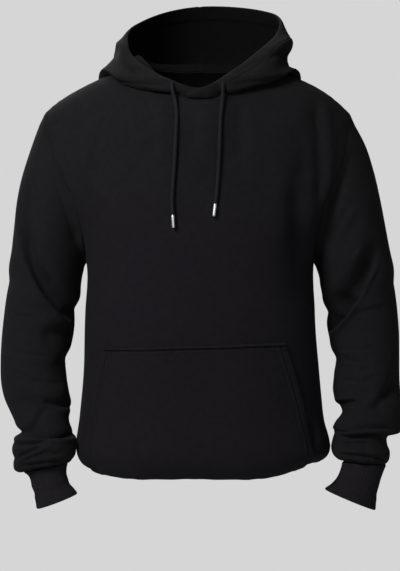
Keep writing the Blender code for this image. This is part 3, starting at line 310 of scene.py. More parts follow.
# Largest folds: the face they lie on, both ends, how far the middle bows up, the width and
# the depth of the trough. On "front" and "back" the places are across and height, on
# "outer" and "inner" they are depth and height.
FOLD_COLUMNS = ("face", "from_a", "from_z", "to_a", "to_z", "bow", "width", "depth")
FOLDS = {
    "sleeve_left": (
        FOLD_COLUMNS,
        ("front", 0.205, -0.150, 0.198, -0.250, 0.004, 0.012, 0.0060),
        ("front", 0.268, -0.250, 0.212, -0.345, -0.004, 0.013, 0.0070),
        ("front", 0.235, -0.205, 0.208, -0.265, 0.000, 0.014, 0.0040),
        ("front", 0.282, -0.480, 0.305, -0.450, 0.000, 0.016, 0.0050),
        ("back", 0.210, -0.300, 0.290, -0.245, 0.006, 0.014, 0.0060),
        ("back", 0.205, -0.360, 0.300, -0.330, 0.005, 0.014, 0.0050),
        ("back", 0.200, -0.420, 0.300, -0.415, 0.004, 0.013, 0.0050),
    ),
    "sleeve_right": (
        FOLD_COLUMNS,
        ("front", -0.192, -0.155, -0.184, -0.245, 0.004, 0.012, 0.0060),
        ("front", -0.268, -0.235, -0.202, -0.358, -0.010, 0.013, 0.0065),
        ("front", -0.275, -0.480, -0.200, -0.492, -0.008, 0.012, 0.0055),
        ("back", -0.210, -0.290, -0.290, -0.240, 0.006, 0.014, 0.0060),
        ("back", -0.205, -0.350, -0.300, -0.315, 0.005, 0.014, 0.0050),
        ("back", -0.200, -0.430, -0.300, -0.405, 0.004, 0.013, 0.0050),
    ),
    "front": (
        FOLD_COLUMNS,
        ("front", 0.160, -0.120, 0.150, -0.270, 0.004, 0.016, 0.0045),
        ("front", -0.165, -0.120, -0.150, -0.240, -0.004, 0.016, 0.0040),
        ("front", 0.168, -0.500, 0.170, -0.560, 0.000, 0.010, 0.0035),
    ),
    "back": (
        FOLD_COLUMNS,
        ("back", 0.165, -0.150, 0.120, -0.290, 0.006, 0.018, 0.0055),
        ("back", -0.165, -0.150, -0.125, -0.280, -0.006, 0.018, 0.0050),
        ("back", -0.120, -0.400, 0.090, -0.425, -0.010, 0.016, 0.0040),
        ("back", -0.060, -0.470, 0.140, -0.460, 0.008, 0.015, 0.0035),
    ),
}
FOLD_LIP = 0.5  # how far the cloth beside a trough rises, as a share of its depth
FOLD_LIP_PLACE = 1.9  # how far beside the trough, in trough widths
FOLD_LIP_WIDTH = 1.1
FOLD_PAST = 0.12  # a fold runs on past its ends by this share of its length
FOLD_FADE = 0.3
FOLD_SEEN = 0.5  # cloth that faces a view by this much or more takes the whole fold
FOLD_HOLLOW = 2.0  # both sides of a fold are equally soft
CREASE_LIP = 0.32  # the same two measures for the creases
CREASE_SEEN = 0.3
CREASE_HOLLOW = 1.3  # below 2, the hollow stays steep down to the crease's line

# Where the garment isn't its own mirror image: on the arms, the body or all of it, the middle
# of each place across and up, how far it reaches, and how far the cloth has moved there.
UNEVEN = (
    ("where", "across", "height", "reach_across", "reach_height", "move_across", "move_up"),
    ("body", 0.168, -0.600, 0.042, 0.032, 0.0000, 0.0145),
    ("body", -0.166, -0.600, 0.028, 0.030, 0.0000, 0.0045),
    ("all", 0.232, -0.050, 0.050, 0.050, -0.0075, -0.0015),
    ("body", 0.142, 0.052, 0.030, 0.015, -0.0065, 0.0000),
    ("body", -0.136, 0.064, 0.030, 0.017, 0.0055, 0.0000),
    ("arms", -0.278, -0.533, 0.020, 0.0055, 0.0070, 0.0000),
    ("arms", -0.272, -0.587, 0.014, 0.0070, -0.0060, -0.0030),
)

# Sharper creases, where the cloth on one side dives under the other's rolled edge. The last
# column says how far the hollow spreads, to the line's upper side if it is above 0 and to its
# lower side if below.
CREASE_COLUMNS = FOLD_COLUMNS + ("spread",)
CREASES = {
    "sleeve_right": (
        CREASE_COLUMNS,
        ("front", -0.2663, -0.1655, -0.1967, -0.3592, -0.0280, 0.0048, 0.0120, 0.0140),
        ("front", -0.2420, -0.3047, -0.1876, -0.3652, -0.0045, 0.0070, 0.0040, 0.0180),
        ("front", -0.2390, -0.3864, -0.1725, -0.3788, 0.0000, 0.0110, 0.0065, -0.0180),
        ("front", -0.2844, -0.3561, -0.2511, -0.3577, 0.0000, 0.0030, 0.0014, -0.0060),
        ("front", -0.2902, -0.4105, -0.2326, -0.4180, 0.0000, 0.0030, 0.0014, -0.0070),
        ("front", -0.2867, -0.4375, -0.2472, -0.4584, 0.0000, 0.0040, 0.0022, -0.0100),
        ("front", -0.2563, -0.4540, -0.2110, -0.4584, 0.0000, 0.0030, 0.0014, -0.0060),
        ("front", -0.2347, -0.4868, -0.1925, -0.4942, 0.0000, 0.0032, 0.0045, 0.0060),
        ("front", -0.2552, -0.5299, -0.2346, -0.4957, -0.0015, 0.0050, 0.0034, -0.0120),
        ("front", -0.2642, -0.5336, -0.1876, -0.5359, -0.0015, 0.0035, 0.0085, 0.0060),
        ("front", -0.2807, -0.5479, -0.2251, -0.5419, -0.0015, 0.0030, 0.0055, -0.0040),
        ("front", -0.2762, -0.5704, -0.2387, -0.5509, 0.0015, 0.0032, 0.0075, 0.0050),
        ("front", -0.2717, -0.5779, -0.2221, -0.5569, 0.0015, 0.0035, 0.0025, -0.0060),
        ("front", -0.2432, -0.5749, -0.2011, -0.5599, 0.0015, 0.0060, 0.0020, -0.0060),
        ("front", -0.2672, -0.5824, -0.2011, -0.5734, 0.0015, 0.0035, 0.0045, -0.0050),
        ("outer", -0.0700, -0.3000, 0.0500, -0.3300, 0.0100, 0.0140, 0.0030, -0.0252),
        ("inner", -0.0500, -0.3600, 0.0500, -0.3450, 0.0040, 0.0100, 0.0045, -0.0180),
        ("inner", -0.0600, -0.4350, 0.0400, -0.4200, 0.0040, 0.0100, 0.0035, -0.0180),
        ("back", -0.2050, -0.3050, -0.2850, -0.2300, 0.0060, 0.0070, 0.0035, -0.0126),
        ("back", -0.2060, -0.3700, -0.2960, -0.3500, 0.0040, 0.0080, 0.0035, -0.0144),
        ("back", -0.2000, -0.4700, -0.2960, -0.4600, 0.0040, 0.0100, 0.0035, -0.0180),
        ("back", -0.2000, -0.5080, -0.2900, -0.5150, 0.0030, 0.0060, 0.0050, -0.0108),
        ("back", -0.1960, -0.5420, -0.2860, -0.5520, 0.0030, 0.0050, 0.0050, -0.0090),
        ("outer", -0.0850, -0.5480, 0.0100, -0.5500, 0.0010, 0.0045, 0.0022, -0.0070),
        ("outer", -0.0850, -0.5710, 0.0100, -0.5740, 0.0010, 0.0045, 0.0022, 0.0070),
        ("inner", -0.0900, -0.5360, 0.0000, -0.5340, 0.0010, 0.0045, 0.0030, 0.0070),
        ("inner", -0.0850, -0.4945, -0.0100, -0.4980, 0.0010, 0.0045, 0.0024, 0.0070),
    ),
    "sleeve_left": (
        CREASE_COLUMNS,
        ("front", 0.2042, -0.3698, 0.2632, -0.2684, -0.0060, 0.0042, 0.0095, 0.0110),
        ("front", 0.1936, -0.3819, 0.2315, -0.3304, -0.0015, 0.0045, 0.0125, 0.0200),
        ("front", 0.2390, -0.3516, 0.2814, -0.3425, 0.0000, 0.0040, 0.0026, -0.0080),
        ("front", 0.2481, -0.3304, 0.2708, -0.2896, 0.0000, 0.0040, 0.0026, -0.0080),
        ("front", 0.2027, -0.2321, 0.2239, -0.1897, 0.0000, 0.0060, 0.0034, 0.0100),
        ("front", 0.2254, -0.2654, 0.2390, -0.2502, 0.0000, 0.0040, 0.0020, 0.0060),
        ("front", 0.2086, -0.4075, 0.2585, -0.4060, 0.0000, 0.0030, 0.0014, 0.0060),
        ("front", 0.2160, -0.4225, 0.2552, -0.4270, 0.0000, 0.0028, 0.0024, 0.0050),
        ("front", 0.2186, -0.4525, 0.2502, -0.4569, 0.0000, 0.0030, 0.0016, -0.0050),
        ("front", 0.2472, -0.4569, 0.2654, -0.4450, 0.0000, 0.0030, 0.0016, -0.0050),
        ("front", 0.2616, -0.4987, 0.2953, -0.4614, 0.0000, 0.0080, 0.0055, -0.0120),
        ("front", 0.2030, -0.4927, 0.2362, -0.4853, 0.0015, 0.0032, 0.0055, -0.0060),
        ("front", 0.1966, -0.5329, 0.2912, -0.5262, 0.0060, 0.0032, 0.0065, 0.0060),
        ("front", 0.2146, -0.5397, 0.2777, -0.5359, 0.0015, 0.0034, 0.0085, -0.0060),
        ("front", 0.2131, -0.5464, 0.2522, -0.5479, 0.0015, 0.0030, 0.0055, -0.0040),
        ("front", 0.2191, -0.5569, 0.2582, -0.5599, 0.0015, 0.0050, 0.0020, -0.0060),
        ("front", 0.2101, -0.5659, 0.2822, -0.5734, 0.0030, 0.0038, 0.0060, -0.0050),
        ("outer", -0.0700, -0.3300, 0.0500, -0.3000, 0.0080, 0.0140, 0.0030, -0.0252),
        ("inner", -0.0500, -0.3650, 0.0500, -0.3500, 0.0040, 0.0100, 0.0045, -0.0180),
        ("inner", -0.0600, -0.4300, 0.0400, -0.4250, 0.0040, 0.0100, 0.0035, -0.0180),
        ("back", 0.2050, -0.3150, 0.2880, -0.2400, 0.0060, 0.0070, 0.0035, -0.0126),
        ("back", 0.2060, -0.3800, 0.2960, -0.3550, 0.0040, 0.0080, 0.0035, -0.0144),
        ("back", 0.2000, -0.4650, 0.2960, -0.4700, 0.0040, 0.0100, 0.0035, -0.0180),
        ("back", 0.2000, -0.5050, 0.2900, -0.5000, 0.0030, 0.0060, 0.0050, -0.0108),
        ("back", 0.1960, -0.5350, 0.2900, -0.5450, 0.0030, 0.0050, 0.0050, -0.0090),
        ("outer", -0.0850, -0.5400, 0.0100, -0.5430, 0.0010, 0.0045, 0.0030, -0.0070),
        ("inner", -0.0900, -0.5330, 0.0000, -0.5300, 0.0010, 0.0045, 0.0028, 0.0060),
        ("inner", -0.0850, -0.4930, -0.0100, -0.4960, 0.0010, 0.0045, 0.0024, -0.0070),
    ),
    "front": (
        CREASE_COLUMNS,
        ("front", 0.1280, -0.1100, 0.1360, -0.2000, 0.0040, 0.0140, 0.0018, -0.0196),
        ("front", -0.1200, -0.0900, -0.1280, -0.1900, 0.0040, 0.0140, 0.0018, -0.0196),
        ("front", -0.1450, -0.0700, -0.1500, -0.1500, 0.0030, 0.0120, 0.0022, -0.0168),
        ("front", 0.1460, -0.0750, 0.1520, -0.1500, 0.0030, 0.0120, 0.0022, -0.0168),
        ("front", 0.1400, -0.2600, 0.1700, -0.3300, 0.0040, 0.0160, 0.0020, -0.0224),
        ("front", -0.1300, -0.2700, -0.1720, -0.3150, 0.0040, 0.0160, 0.0018, -0.0224),
        ("front", 0.1655, -0.5050, 0.1700, -0.5550, 0.0000, 0.0050, 0.0030, -0.0070),
        ("front", 0.1790, -0.0300, 0.1815, -0.1900, 0.0010, 0.0090, 0.0068, -0.0150),
        ("front", -0.1805, -0.0300, -0.1800, -0.1250, 0.0000, 0.0060, 0.0034, -0.0080),
        ("front", -0.0740, -0.0400, -0.0700, -0.1200, 0.0000, 0.0095, 0.0024, -0.0130),
        ("front", -0.0090, -0.0450, -0.0080, -0.1150, 0.0000, 0.0090, 0.0018, -0.0120),
        ("front", 0.0560, -0.0400, 0.0600, -0.1250, 0.0000, 0.0100, 0.0022, -0.0130),
        ("front", 0.1420, -0.1700, 0.1460, -0.3400, 0.0040, 0.0160, 0.0046, -0.0220),
        ("front", -0.1600, -0.5150, -0.1720, -0.5500, 0.0020, 0.0060, 0.0018, -0.0084),
    ),
    "back": (
        CREASE_COLUMNS,
        ("back", 0.1560, -0.0700, 0.1480, -0.2300, 0.0060, 0.0090, 0.0042, -0.0260),
        ("back", -0.1560, -0.0800, -0.1500, -0.2100, 0.0050, 0.0090, 0.0038, -0.0260),
        ("back", 0.1700, -0.2300, 0.0900, -0.3400, 0.0120, 0.0110, 0.0042, -0.0300),
        ("back", -0.1700, -0.2200, -0.1050, -0.3150, -0.0100, 0.0110, 0.0038, -0.0280),
        ("back", -0.1450, -0.4150, 0.0400, -0.4420, -0.0120, 0.0080, 0.0046, -0.0260),
        ("back", 0.0100, -0.4700, 0.1680, -0.4450, -0.0100, 0.0075, 0.0052, -0.0240),
        ("back", -0.1700, -0.4900, -0.0300, -0.5120, -0.0090, 0.0070, 0.0052, -0.0220),
        ("back", 0.0500, -0.5280, 0.1720, -0.5050, -0.0060, 0.0065, 0.0046, -0.0200),
        ("back", -0.0300, -0.1500, 0.0300, -0.3300, 0.0040, 0.0220, 0.0022, -0.0308),
    ),
    "hood_left": (
        CREASE_COLUMNS,
        ("front", 0.0500, -0.0080, 0.1300, 0.0040, -0.0030, 0.0045, 0.0034, -0.0110),
        ("outer", -0.0700, 0.0400, 0.0500, 0.0430, 0.0020, 0.0070, 0.0055, -0.0080),
        ("front", 0.0480, 0.0040, 0.0940, 0.0300, 0.0040, 0.0070, 0.0022, -0.0098),
        ("outer", -0.0600, 0.0200, 0.0600, 0.0440, 0.0060, 0.0090, 0.0030, -0.0126),
        ("back", 0.0200, -0.0200, 0.1100, 0.0200, 0.0100, 0.0090, 0.0055, -0.0220),
        ("back", 0.0150, -0.0750, 0.1000, -0.0500, 0.0060, 0.0080, 0.0050, -0.0200),
    ),
    "hood_right": (
        CREASE_COLUMNS,
        ("front", -0.1300, -0.0010, -0.0450, -0.0075, -0.0040, 0.0045, 0.0036, -0.0110),
        ("front", -0.0600, -0.0040, -0.1040, 0.0160, 0.0040, 0.0070, 0.0022, -0.0098),
        ("outer", -0.0600, 0.0120, 0.0600, 0.0380, 0.0060, 0.0090, 0.0030, -0.0126),
        ("back", -0.0200, -0.0300, -0.1150, 0.0120, 0.0100, 0.0090, 0.0055, -0.0220),
        ("back", -0.0120, -0.0850, -0.0950, -0.0600, 0.0060, 0.0080, 0.0048, -0.0200),
    ),
}

# Slow swells of the whole cloth, so that no panel is a perfect surface.
SWELL_SIZE = 0.085
SWELL_RISE = 0.0016
SWELL_SEEDS = {
    "front": 3.1,
    "back": 8.7,
    "sleeve_left": 14.2,
    "sleeve_right": 21.9,
    "hood_left": 27.4,
    "hood_right": 33.3,
}
SEAM_HOLDS = 0.022  # the folds and swells fade out over this distance from a seam

# Across a sewn seam: how far from it, and how the cloth lies there under its topstitch.
SEAM_RELIEF = (
    ("away", "rise"),
    (0.0000, -0.00095),
    (0.0008, -0.00020),
    (0.0020, 0.00028),
    (0.0036, 0.00020),
    (0.0048, -0.00030),
    (0.0060, 0.00018),
    (0.0080, 0.00022),
    (0.0110, 0.00000),
)
ARMHOLE_SOFTENS = 0.4  # the armhole seams lie flatter than the others
CUFF_SEAM_HOLDS = 0.006  # the cloth rolls down over the cuffs, creased right to their seams
TOPSTITCH_AWAY = 0.0048  # from the seam
PUCKER_RISE = 0.00035
PUCKER_LENGTH = 0.017  # from one pucker to the next
PUCKER_REACH = 0.011  # how far from its stitches a pucker runs
WAVE_DRIFT = 1.3  # how far the crests of puckers and gathers stray, in radians
WAVE_DRIFT_LENGTH = 2.7  # over this many waves
WAVE_LOWEST = 0.30  # how high their lowest crests are, as a share of the highest
WAVE_HEIGHT_LENGTH = 3.9

# The hem and the cuffs draw the cloth in: gathers that run up from their seams.
GATHER_RISE = 0.0007
GATHER_WIDTH = 0.034
GATHER_REACH = 0.042
SLEEVE_GATHER_RISE = 0.0014
SLEEVE_GATHER_WIDTH = 0.019
SLEEVE_GATHER_REACH = 0.020

# The hood's rim is turned in for the drawcord: a channel with one row of stitches.
CHANNEL_DEEP = 0.022  # from the rim to its stitches
CHANNEL_WALL = 0.0016  # how much thicker the cloth is along it
CHANNEL_RELIEF = (
    ("away", "rise"),
    (0.0000, -0.0004),
    (0.0020, 0.0003),
    (0.0100, 0.0007),
    (0.0180, 0.0005),
    (0.0205, 0.0002),
    (0.0220, -0.0007),
    (0.0236, 0.0001),
    (0.0270, 0.0000),
)

# The pocket's hems: how far from the edge, and how the doubled cloth lies there.
POCKET_TOP_RELIEF = (
    ("away", "rise"),
    (0.0000, 0.0004),
    (0.0013, 0.0020),
    (0.0028, 0.0017),
    (0.0046, -0.0014),
    (0.0064, 0.0003),
    (0.0100, 0.0001),
    (0.0140, 0.0000),
)
POCKET_SIDE_RELIEF = (
    ("away", "rise"),
    (0.0000, 0.0004),
    (0.0015, 0.0012),
    (0.0050, 0.0010),
    (0.0088, 0.0009),
    (0.0102, -0.0003),
    (0.0116, 0.0007),
    (0.0165, 0.0006),
    (0.0180, -0.0003),
    (0.0195, 0.0001),
    (0.0240, 0.0000),
)
POCKET_STITCH_TOP = 0.0046  # the rows of stitches, from the pocket's edges
POCKET_STITCHES_SIDE = (0.0102, 0.0180)

# The same across a seam without a topstitch.
PLAIN_RELIEF = (
    ("away", "rise"),
    (0.0000, -0.00095),
    (0.0010, -0.00015),
    (0.0026, 0.00022),
    (0.0060, 0.00008),
    (0.0100, 0.00000),
)

# How finely each piece is laid out, and where its rows and columns lie closer together.
TORSO_NECK_STEPS = 24
TORSO_SIDE_STEPS = 40
ARMHOLE_ROWS = 84
ARMHOLE_CROWDING = 1.35  # more rows towards the shoulder seam
SEAM_ROWS = 52  # from the armhole down to the hem's roll
ROLL_ROWS = 30
SEAM_LINE_STEPS = 160
SLEEVE_COLUMNS_ROUND = 180
UNDERARM_CROWDING = 0.55  # more columns at the underarm seam
SLEEVE_ROWS = 270
SLEEVE_CROWDING = 0.06  # more rows at both ends
CUFF_ROWS = 26
CUFF_CROWDING = 0.05
CUFF_RIB_POINTS = 8  # columns for each rib
BAND_RIBS = 190
BAND_RIB_POINTS = 6
BAND_ROWS = 8
HOOD_ROUND_STEPS = 110
HOOD_ROWS = 100
HOOD_CROWDING = 1.5  # more rows towards the rim
POCKET_COLUMNS = 132
POCKET_ROWS = 84
POCKET_COLUMN_SHARE = 0.375  # of the side's columns, where the pocket's sides lie
POCKET_SIDE_CROWDING = 0.75  # more columns towards its sides
POCKET_TOP_CROWDING = 0.75  # more rows towards its top edge
RIM_TURNS = (45, 90, 135)  # degrees at which a rounded rim has its lines
SHARP_FROM = 60  # degrees between two faces
CLOSE = 1e-6
SMALLEST = 1e-12  # stands in for a length of 0
SHORT_OF_LAST = 1.0001  # keeps a place short of a grid's last row or column

# Finer shaping of the edges: over what distances they change, and by how much.
CHANNEL_CLEAR = 0.012  # the hood's channel flattens this close to the neckline seam
CHANNEL_STEP = 0.0025  # over which the channel's second layer of cloth ends
SLEEVE_GATHER_FROM = 0.006  # the sleeve's gathers start this far above the cuff seam
CUFF_SLACK = 0.0007  # how far the cuff's knit swells and sinks
CUFF_SLACK_LENGTH = 0.028
CUFF_RIBS_FROM = 0.004  # the ribs rise over this distance from the cuff's ends
CUFF_RIBS_AT_EDGE = 0.3  # they have begun to rise at its free edge
POCKET_GAPE = 0.0016  # how far the pocket's open sides stand off the front
POCKET_GAPE_REACH = 0.014
POCKET_SEED = 5.3  # for its puckers

# A doubled rib, in shares of the space from one rib to the next.
RIB_HALF = 0.36  # half its width
RIB_SIDE = 0.16  # the width of its slope
RIB_NOTCH = 0.35  # the groove along its middle, as a share of its height
RIB_NOTCH_WIDTH = 0.06

# Drawcords: a round braid, squeezed into its eyelet and its tip.
CORD_STUB = ((0.0, 0.0052, 0.0062), (0.0, 0.0026, 0.0032))  # inside the eyelet, from its route
CORD_IN_TIP = 0.0022
CORD_ROW = 0.00055  # from one ring of corners to the next
CORD_ROUND = 28  # corners in a ring
BRAID_LAY = 0.022  # along the cord, from one strand to the next
BRAID_STRANDS = 6  # that climb each way
BRAID_RELIEF = 0.09  # as a share of the cord's radius
BRAID_OTHER = 0.85  # the strands that climb the other way lie lower
CORD_SQUEEZED = 0.80  # what is left of its radius at the tip
CORD_SQUEEZE_OVER = 0.006
CORD_PINCHED = 0.70  # and inside the eyelet
CORD_PINCH_OVER = 0.004
TIP_ROUND = 40
# The tip's outline from its mouth to its rounded end, as shares of its length and radius.
TIP_PROFILE = (
    ("place", "radius"),
    (0.000, 0.86),
    (0.010, 0.96),
    (0.030, 1.03),
    (0.055, 1.03),
    (0.070, 0.99),
    (0.085, 0.93),
    (0.105, 0.93),
    (0.120, 0.99),
    (0.140, 1.00),
    (0.500, 1.00),
    (0.900, 1.00),
    (0.940, 0.98),
    (0.972, 0.93),
    (0.992, 0.82),
    (1.000, 0.66),
)

# The eyelets: rings of radial stitches, with corners for each stitch and round the section.
EYELET_STITCHES = 26
EYELET_POINTS = 4
EYELET_SECTION = 8
EYELET_RADIUS = 0.0042
EYELET_WIDTH = 0.0013  # on either side of that radius
EYELET_HEIGHT = 0.0006
EYELET_RIBBED = 0.3  # how much of its height lies between the threads

# The rows of stitches.
STITCH_PITCH = 0.0034  # from one stitch to the next
STITCH_LENGTH = 0.0026
STITCH_THREAD = 0.00030  # the thread's radius
STITCH_SEGMENTS = 6
STITCH_RINGS = 4
STITCH_SKIP = 2  # points that a row leaves out where it meets another seam
HOOD_STITCH_SKIP = 8

# Cloth and finishes.
# Each dye has its colour at the shoulders and its colour lower down, where it is warmer.
BODY_DYE = ((0.0115, 0.0113, 0.0124), (0.0120, 0.0106, 0.0131))
SLEEVE_DYE = ((0.0115, 0.0114, 0.0124), (0.0117, 0.0112, 0.0126))
# The insides are painted far darker than the face: painted shade for the shade inside the hood
# and the body.
INSIDE_PAINTED_SHADE_DYE = ((0.0042, 0.0040, 0.0046), (0.0042, 0.0040, 0.0046))
RIB_DYE = ((0.0152, 0.0136, 0.0158), (0.0152, 0.0136, 0.0158))
CORD_DYE = ((0.0170, 0.0160, 0.0190), (0.0170, 0.0160, 0.0190))
THREAD_DYE = ((0.0110, 0.0105, 0.0110), (0.0110, 0.0105, 0.0110))
DYE_FROM = -0.02  # the heights between which it turns
DYE_TO = -0.26
# Each knit has the width of a column of stitches, the height of a stitch and its depth.
FLEECE_KNIT = (0.00125, 0.00100, 0.00016)
INSIDE_KNIT = (0.00125, 0.00100, 0.0)  # the inside's nap lies smooth, with no knit relief
RIB_KNIT = (0.00130, 0.00105, 0.00018)
CORD_KNIT = (0.00070, 0.00060, 0.00008)
THREAD_KNIT = (0.00070, 0.00060, 0.0)
# Painted shade: the knit's grooves are painted darker than its raised legs.
KNIT_GROOVE_PAINTED_SHADES = (0.72, 1.16)
KNIT_SLANT = 1.5  # how steeply the legs of a knit stitch run
KNIT_GROOVE = 3.0  # how narrow the groove between two columns of stitches is
NAP_PATCH = 0.008  # how large its patches are
NAP_PATCH_DETAIL = 4.0
NAP_PATCH_SHADES = (0.70, 1.30)
NAP_FUZZ = 0.0011
NAP_FUZZ_DETAIL = 2.0
NAP_FUZZ_SHADES = (0.80, 1.20)
NAP_FUZZ_DEPTH = 0.00012
SHADE_ROOM = 2.0  # the highest shade that a colour mix has to take
CLOTH_ROUGHNESS = (0.86, 1.00)
CLOTH_SPECULAR = 0.08
BODY_SHEEN = 0.010
SLEEVE_SHEEN = 0.012
SHEEN_ROUGHNESS = 0.45
SHEEN_TINT = (0.90, 0.92, 1.00)
METAL_COLOUR = (0.86, 0.86, 0.87)
METAL_PATCH = 0.004
METAL_ROUGHNESS = (0.16, 0.34)
METAL_SCRATCH = 0.0004
METAL_SCRATCH_ROUGHNESS = (0.0, 0.08)
METAL_SCRATCH_DEPTH = 0.00003

# Camera, light and backdrop.
CAMERA_AWAY = 3.0
CAMERA_HEIGHT = -0.31
SENSOR = 36.0
VIEW_HEIGHT = 0.885  # how much of the garment's plane the picture's height takes in
BACKDROP = (0.6724, 0.6724, 0.6724)
GLOW = (0.11, 0.11, 0.114)
FLOOR_COLOUR = (0.72, 0.72, 0.72)
FLOOR_Z = -1.45
FLOOR_HALF = 3.5
FLOOR_CLOUDS = 2.0
FLOOR_ROUGHNESS = (0.8, 0.95)
LIGHTS = (
    ("key_light", (-1.1, -1.6, 0.95), 0.8, 43.0, (1.0, 0.99, 1.0)),
    ("fill_light", (1.0, -3.0, 0.1), 2.2, 11.8, (0.98, 1.0, 1.0)),
    ("back_light", (-1.0, 2.4, 1.5), 1.6, 45.0, (1.0, 1.0, 1.0)),
)

# The two sides: their names, and which way along X each lies.
SIDES = (("left", 1), ("right", -1))

NECK_SHARE = NECK_HALF / SHOULDER_END  # the neck point along the shoulder line
SIDE_START = math.asin(NECK_SHARE ** (HEM_SQUARE / 2))
# The panel column that the pocket's sides follow.
POCKET_TURN = (1 - POCKET_COLUMN_SHARE) * SIDE_START + POCKET_COLUMN_SHARE * math.pi / 2
POCKET_COLUMN = math.sin(POCKET_TURN) ** (2 / HEM_SQUARE)


# ------------------------------------------------------------------ tables, lines and helpers
def column(table, name):
    """One named column of a table."""
    place = table[0].index(name)
    return np.array([line[place] for line in table[1:]], float)


def row(table, name):
    """The numbers of a table's row that starts with a name."""
    return np.array(next(r[1:] for r in table[1:] if r[0] == name), float)


def through(places, values, at):
    """A smooth line through values (first axis) that are known at places, read at at."""
    places = np.asarray(places, float)
    values = np.asarray(values, float)
    if places[0] > places[-1]:
        places, values = places[::-1], values[::-1]
    at = np.clip(np.asarray(at, float), places[0], places[-1])
    more = (1,) * (values.ndim - 1)
    step = np.diff(places)
    slope = np.diff(values, axis=0) / step.reshape(-1, *more)
    tangent = np.concatenate([slope[:1], slope[:1], slope[1:]])
    near, far = step[:-1].reshape(-1, *more), step[1:].reshape(-1, *more)
    tangent[1:-1] = (slope[:-1] * far + slope[1:] * near) / (near + far)
    tangent[0], tangent[-1] = slope[0], slope[-1]
    k = np.clip(np.searchsorted(places, at, side="right") - 1, 0, len(step) - 1)
    wide = step[k].reshape(at.shape + more)
    t = ((at - places[k]) / step[k]).reshape(at.shape + more)
    return (
        (1 + 2 * t) * (1 - t) ** 2 * values[k]
        + t * (1 - t) ** 2 * wide * tangent[k]
        + t * t * (3 - 2 * t) * values[k + 1]
        + t * t * (t - 1) * wide * tangent[k + 1]
    )


def eased(t):
    """0 to 1 with a soft start and end."""
    t = np.clip(t, 0.0, 1.0)
    return t * t * (3 - 2 * t)


def running(line):
    """How far along a line each of its points lies."""
    steps = np.linalg.norm(np.diff(line, axis=0), axis=1)
    return np.concatenate([[0], np.cumsum(steps)])


def unit(vectors):
    """The vectors made one long."""
    return vectors / np.maximum(np.linalg.norm(vectors, axis=-1, keepdims=True), SMALLEST)


def added(name, data):
    """A new object of the scene."""
    made = bpy.data.objects.new(name, data)
    bpy.context.collection.objects.link(made)
    return made


def link(tree, source, target):
    """Links one node's output to another's input."""
    tree.links.new(source, target)


# ------------------------------------------------------------------ folds
def normals_of(points, closed):
    """Unit normals of a grid of points; closed says that its last column meets its first."""
    if closed:
        wrapped = np.concatenate([points[:, -1:], points, points[:, :1]], axis=1)
        across = (wrapped[:, 2:] - wrapped[:, :-2]) / 2
    else:
        across = np.gradient(points, axis=1)
    down = np.gradient(points, axis=0)
    return unit(np.cross(down, across))


def fold_lift(points, normals, table, lip_share, seen_from):
    """How far the folds of a table raise or sink each point."""
    moved = np.zeros(points.shape[:2])
    facing = {
        "front": -normals[..., 1],
        "back": normals[..., 1],
        "outer": np.sign(points[..., 0]) * normals[..., 0],
        "inner": -np.sign(points[..., 0]) * normals[..., 0],
    }
    for face, from_a, from_z, to_a, to_z, bow, width, depth, *spread in table[1:]:
        a = points[..., 0] if face in ("front", "back") else points[..., 1]
        run = np.array([to_a - from_a, to_z - from_z])
        length = np.linalg.norm(run)
        run = run / length
        along = ((a - from_a) * run[0] + (points[..., 2] - from_z) * run[1]) / length
        beside = (a - from_a) * -run[1] + (points[..., 2] - from_z) * run[0]
        if run[0] < 0 or (run[0] == 0 and run[1] > 0):
            beside = -beside
        beside = beside - bow * (1 - (2 * along - 1) ** 2)
        ends = eased((along + FOLD_PAST) / FOLD_FADE) * eased((1 + FOLD_PAST - along) / FOLD_FADE)
        hollow = CREASE_HOLLOW if spread else FOLD_HOLLOW
        spread = spread[0] if spread else -width
        beside = beside * math.copysign(1.0, spread)
        trough = np.where(
            beside > 0,
            np.exp(-(np.abs(beside / spread) ** hollow)),
            np.exp(-((beside / width) ** 2)),
        )
        lip = np.exp(-(((beside / width + FOLD_LIP_PLACE) / FOLD_LIP_WIDTH) ** 2))
        seen = eased(facing[face] / seen_from)
        moved += depth * ends * seen * (lip_share * lip - trough)
    return moved


# ------------------------------------------------------------------ seams and swells
def edge_runs(grid):
    """How far each point of a grid lies from its first and last rows and columns."""
    down = np.linalg.norm(np.diff(grid, axis=0), axis=2)
    across = np.linalg.norm(np.diff(grid, axis=1), axis=2)
    from_top = np.concatenate([np.zeros((1, grid.shape[1])), np.cumsum(down, axis=0)])
    from_side = np.concatenate([np.zeros((grid.shape[0], 1)), np.cumsum(across, axis=1)], axis=1)
    return {
        "first_row": from_top,
        "last_row": from_top[-1:] - from_top,
        "first_column": from_side,
        "last_column": from_side[:, -1:] - from_side,
    }


def relief(table, away):
    """How high the cloth lies at a distance from a seam or an edge."""
    return through(column(table, "away"), column(table, "rise"), away)


def uneven_wave(run, length, seed):
    """A wave along a run whose crests are neither evenly spaced nor alike."""
    turn = 2 * math.pi * run / length
    drift = WAVE_DRIFT * np.sin(turn / WAVE_DRIFT_LENGTH + seed)
    middle, swing = (1 + WAVE_LOWEST) / 2, (1 - WAVE_LOWEST) / 2
    height = middle + swing * np.sin(turn / WAVE_HEIGHT_LENGTH + 2 * seed)
    return np.sin(turn + drift + seed) * height


def puckers(along, away, seed):
    """Small waves that a line of stitches draws into the cloth beside it."""
    near = np.exp(-((away / PUCKER_REACH) ** 2))
    return PUCKER_RISE * uneven_wave(along, PUCKER_LENGTH, seed) * near


def swells(points, seed):
    """Slow, uneven swells over a grid of points."""
    places = points.reshape(-1, 3) / SWELL_SIZE + seed
    lift = [noise.noise(Vector(place)) for place in places.tolist()]
    return SWELL_RISE * np.array(lift).reshape(points.shape[:2])


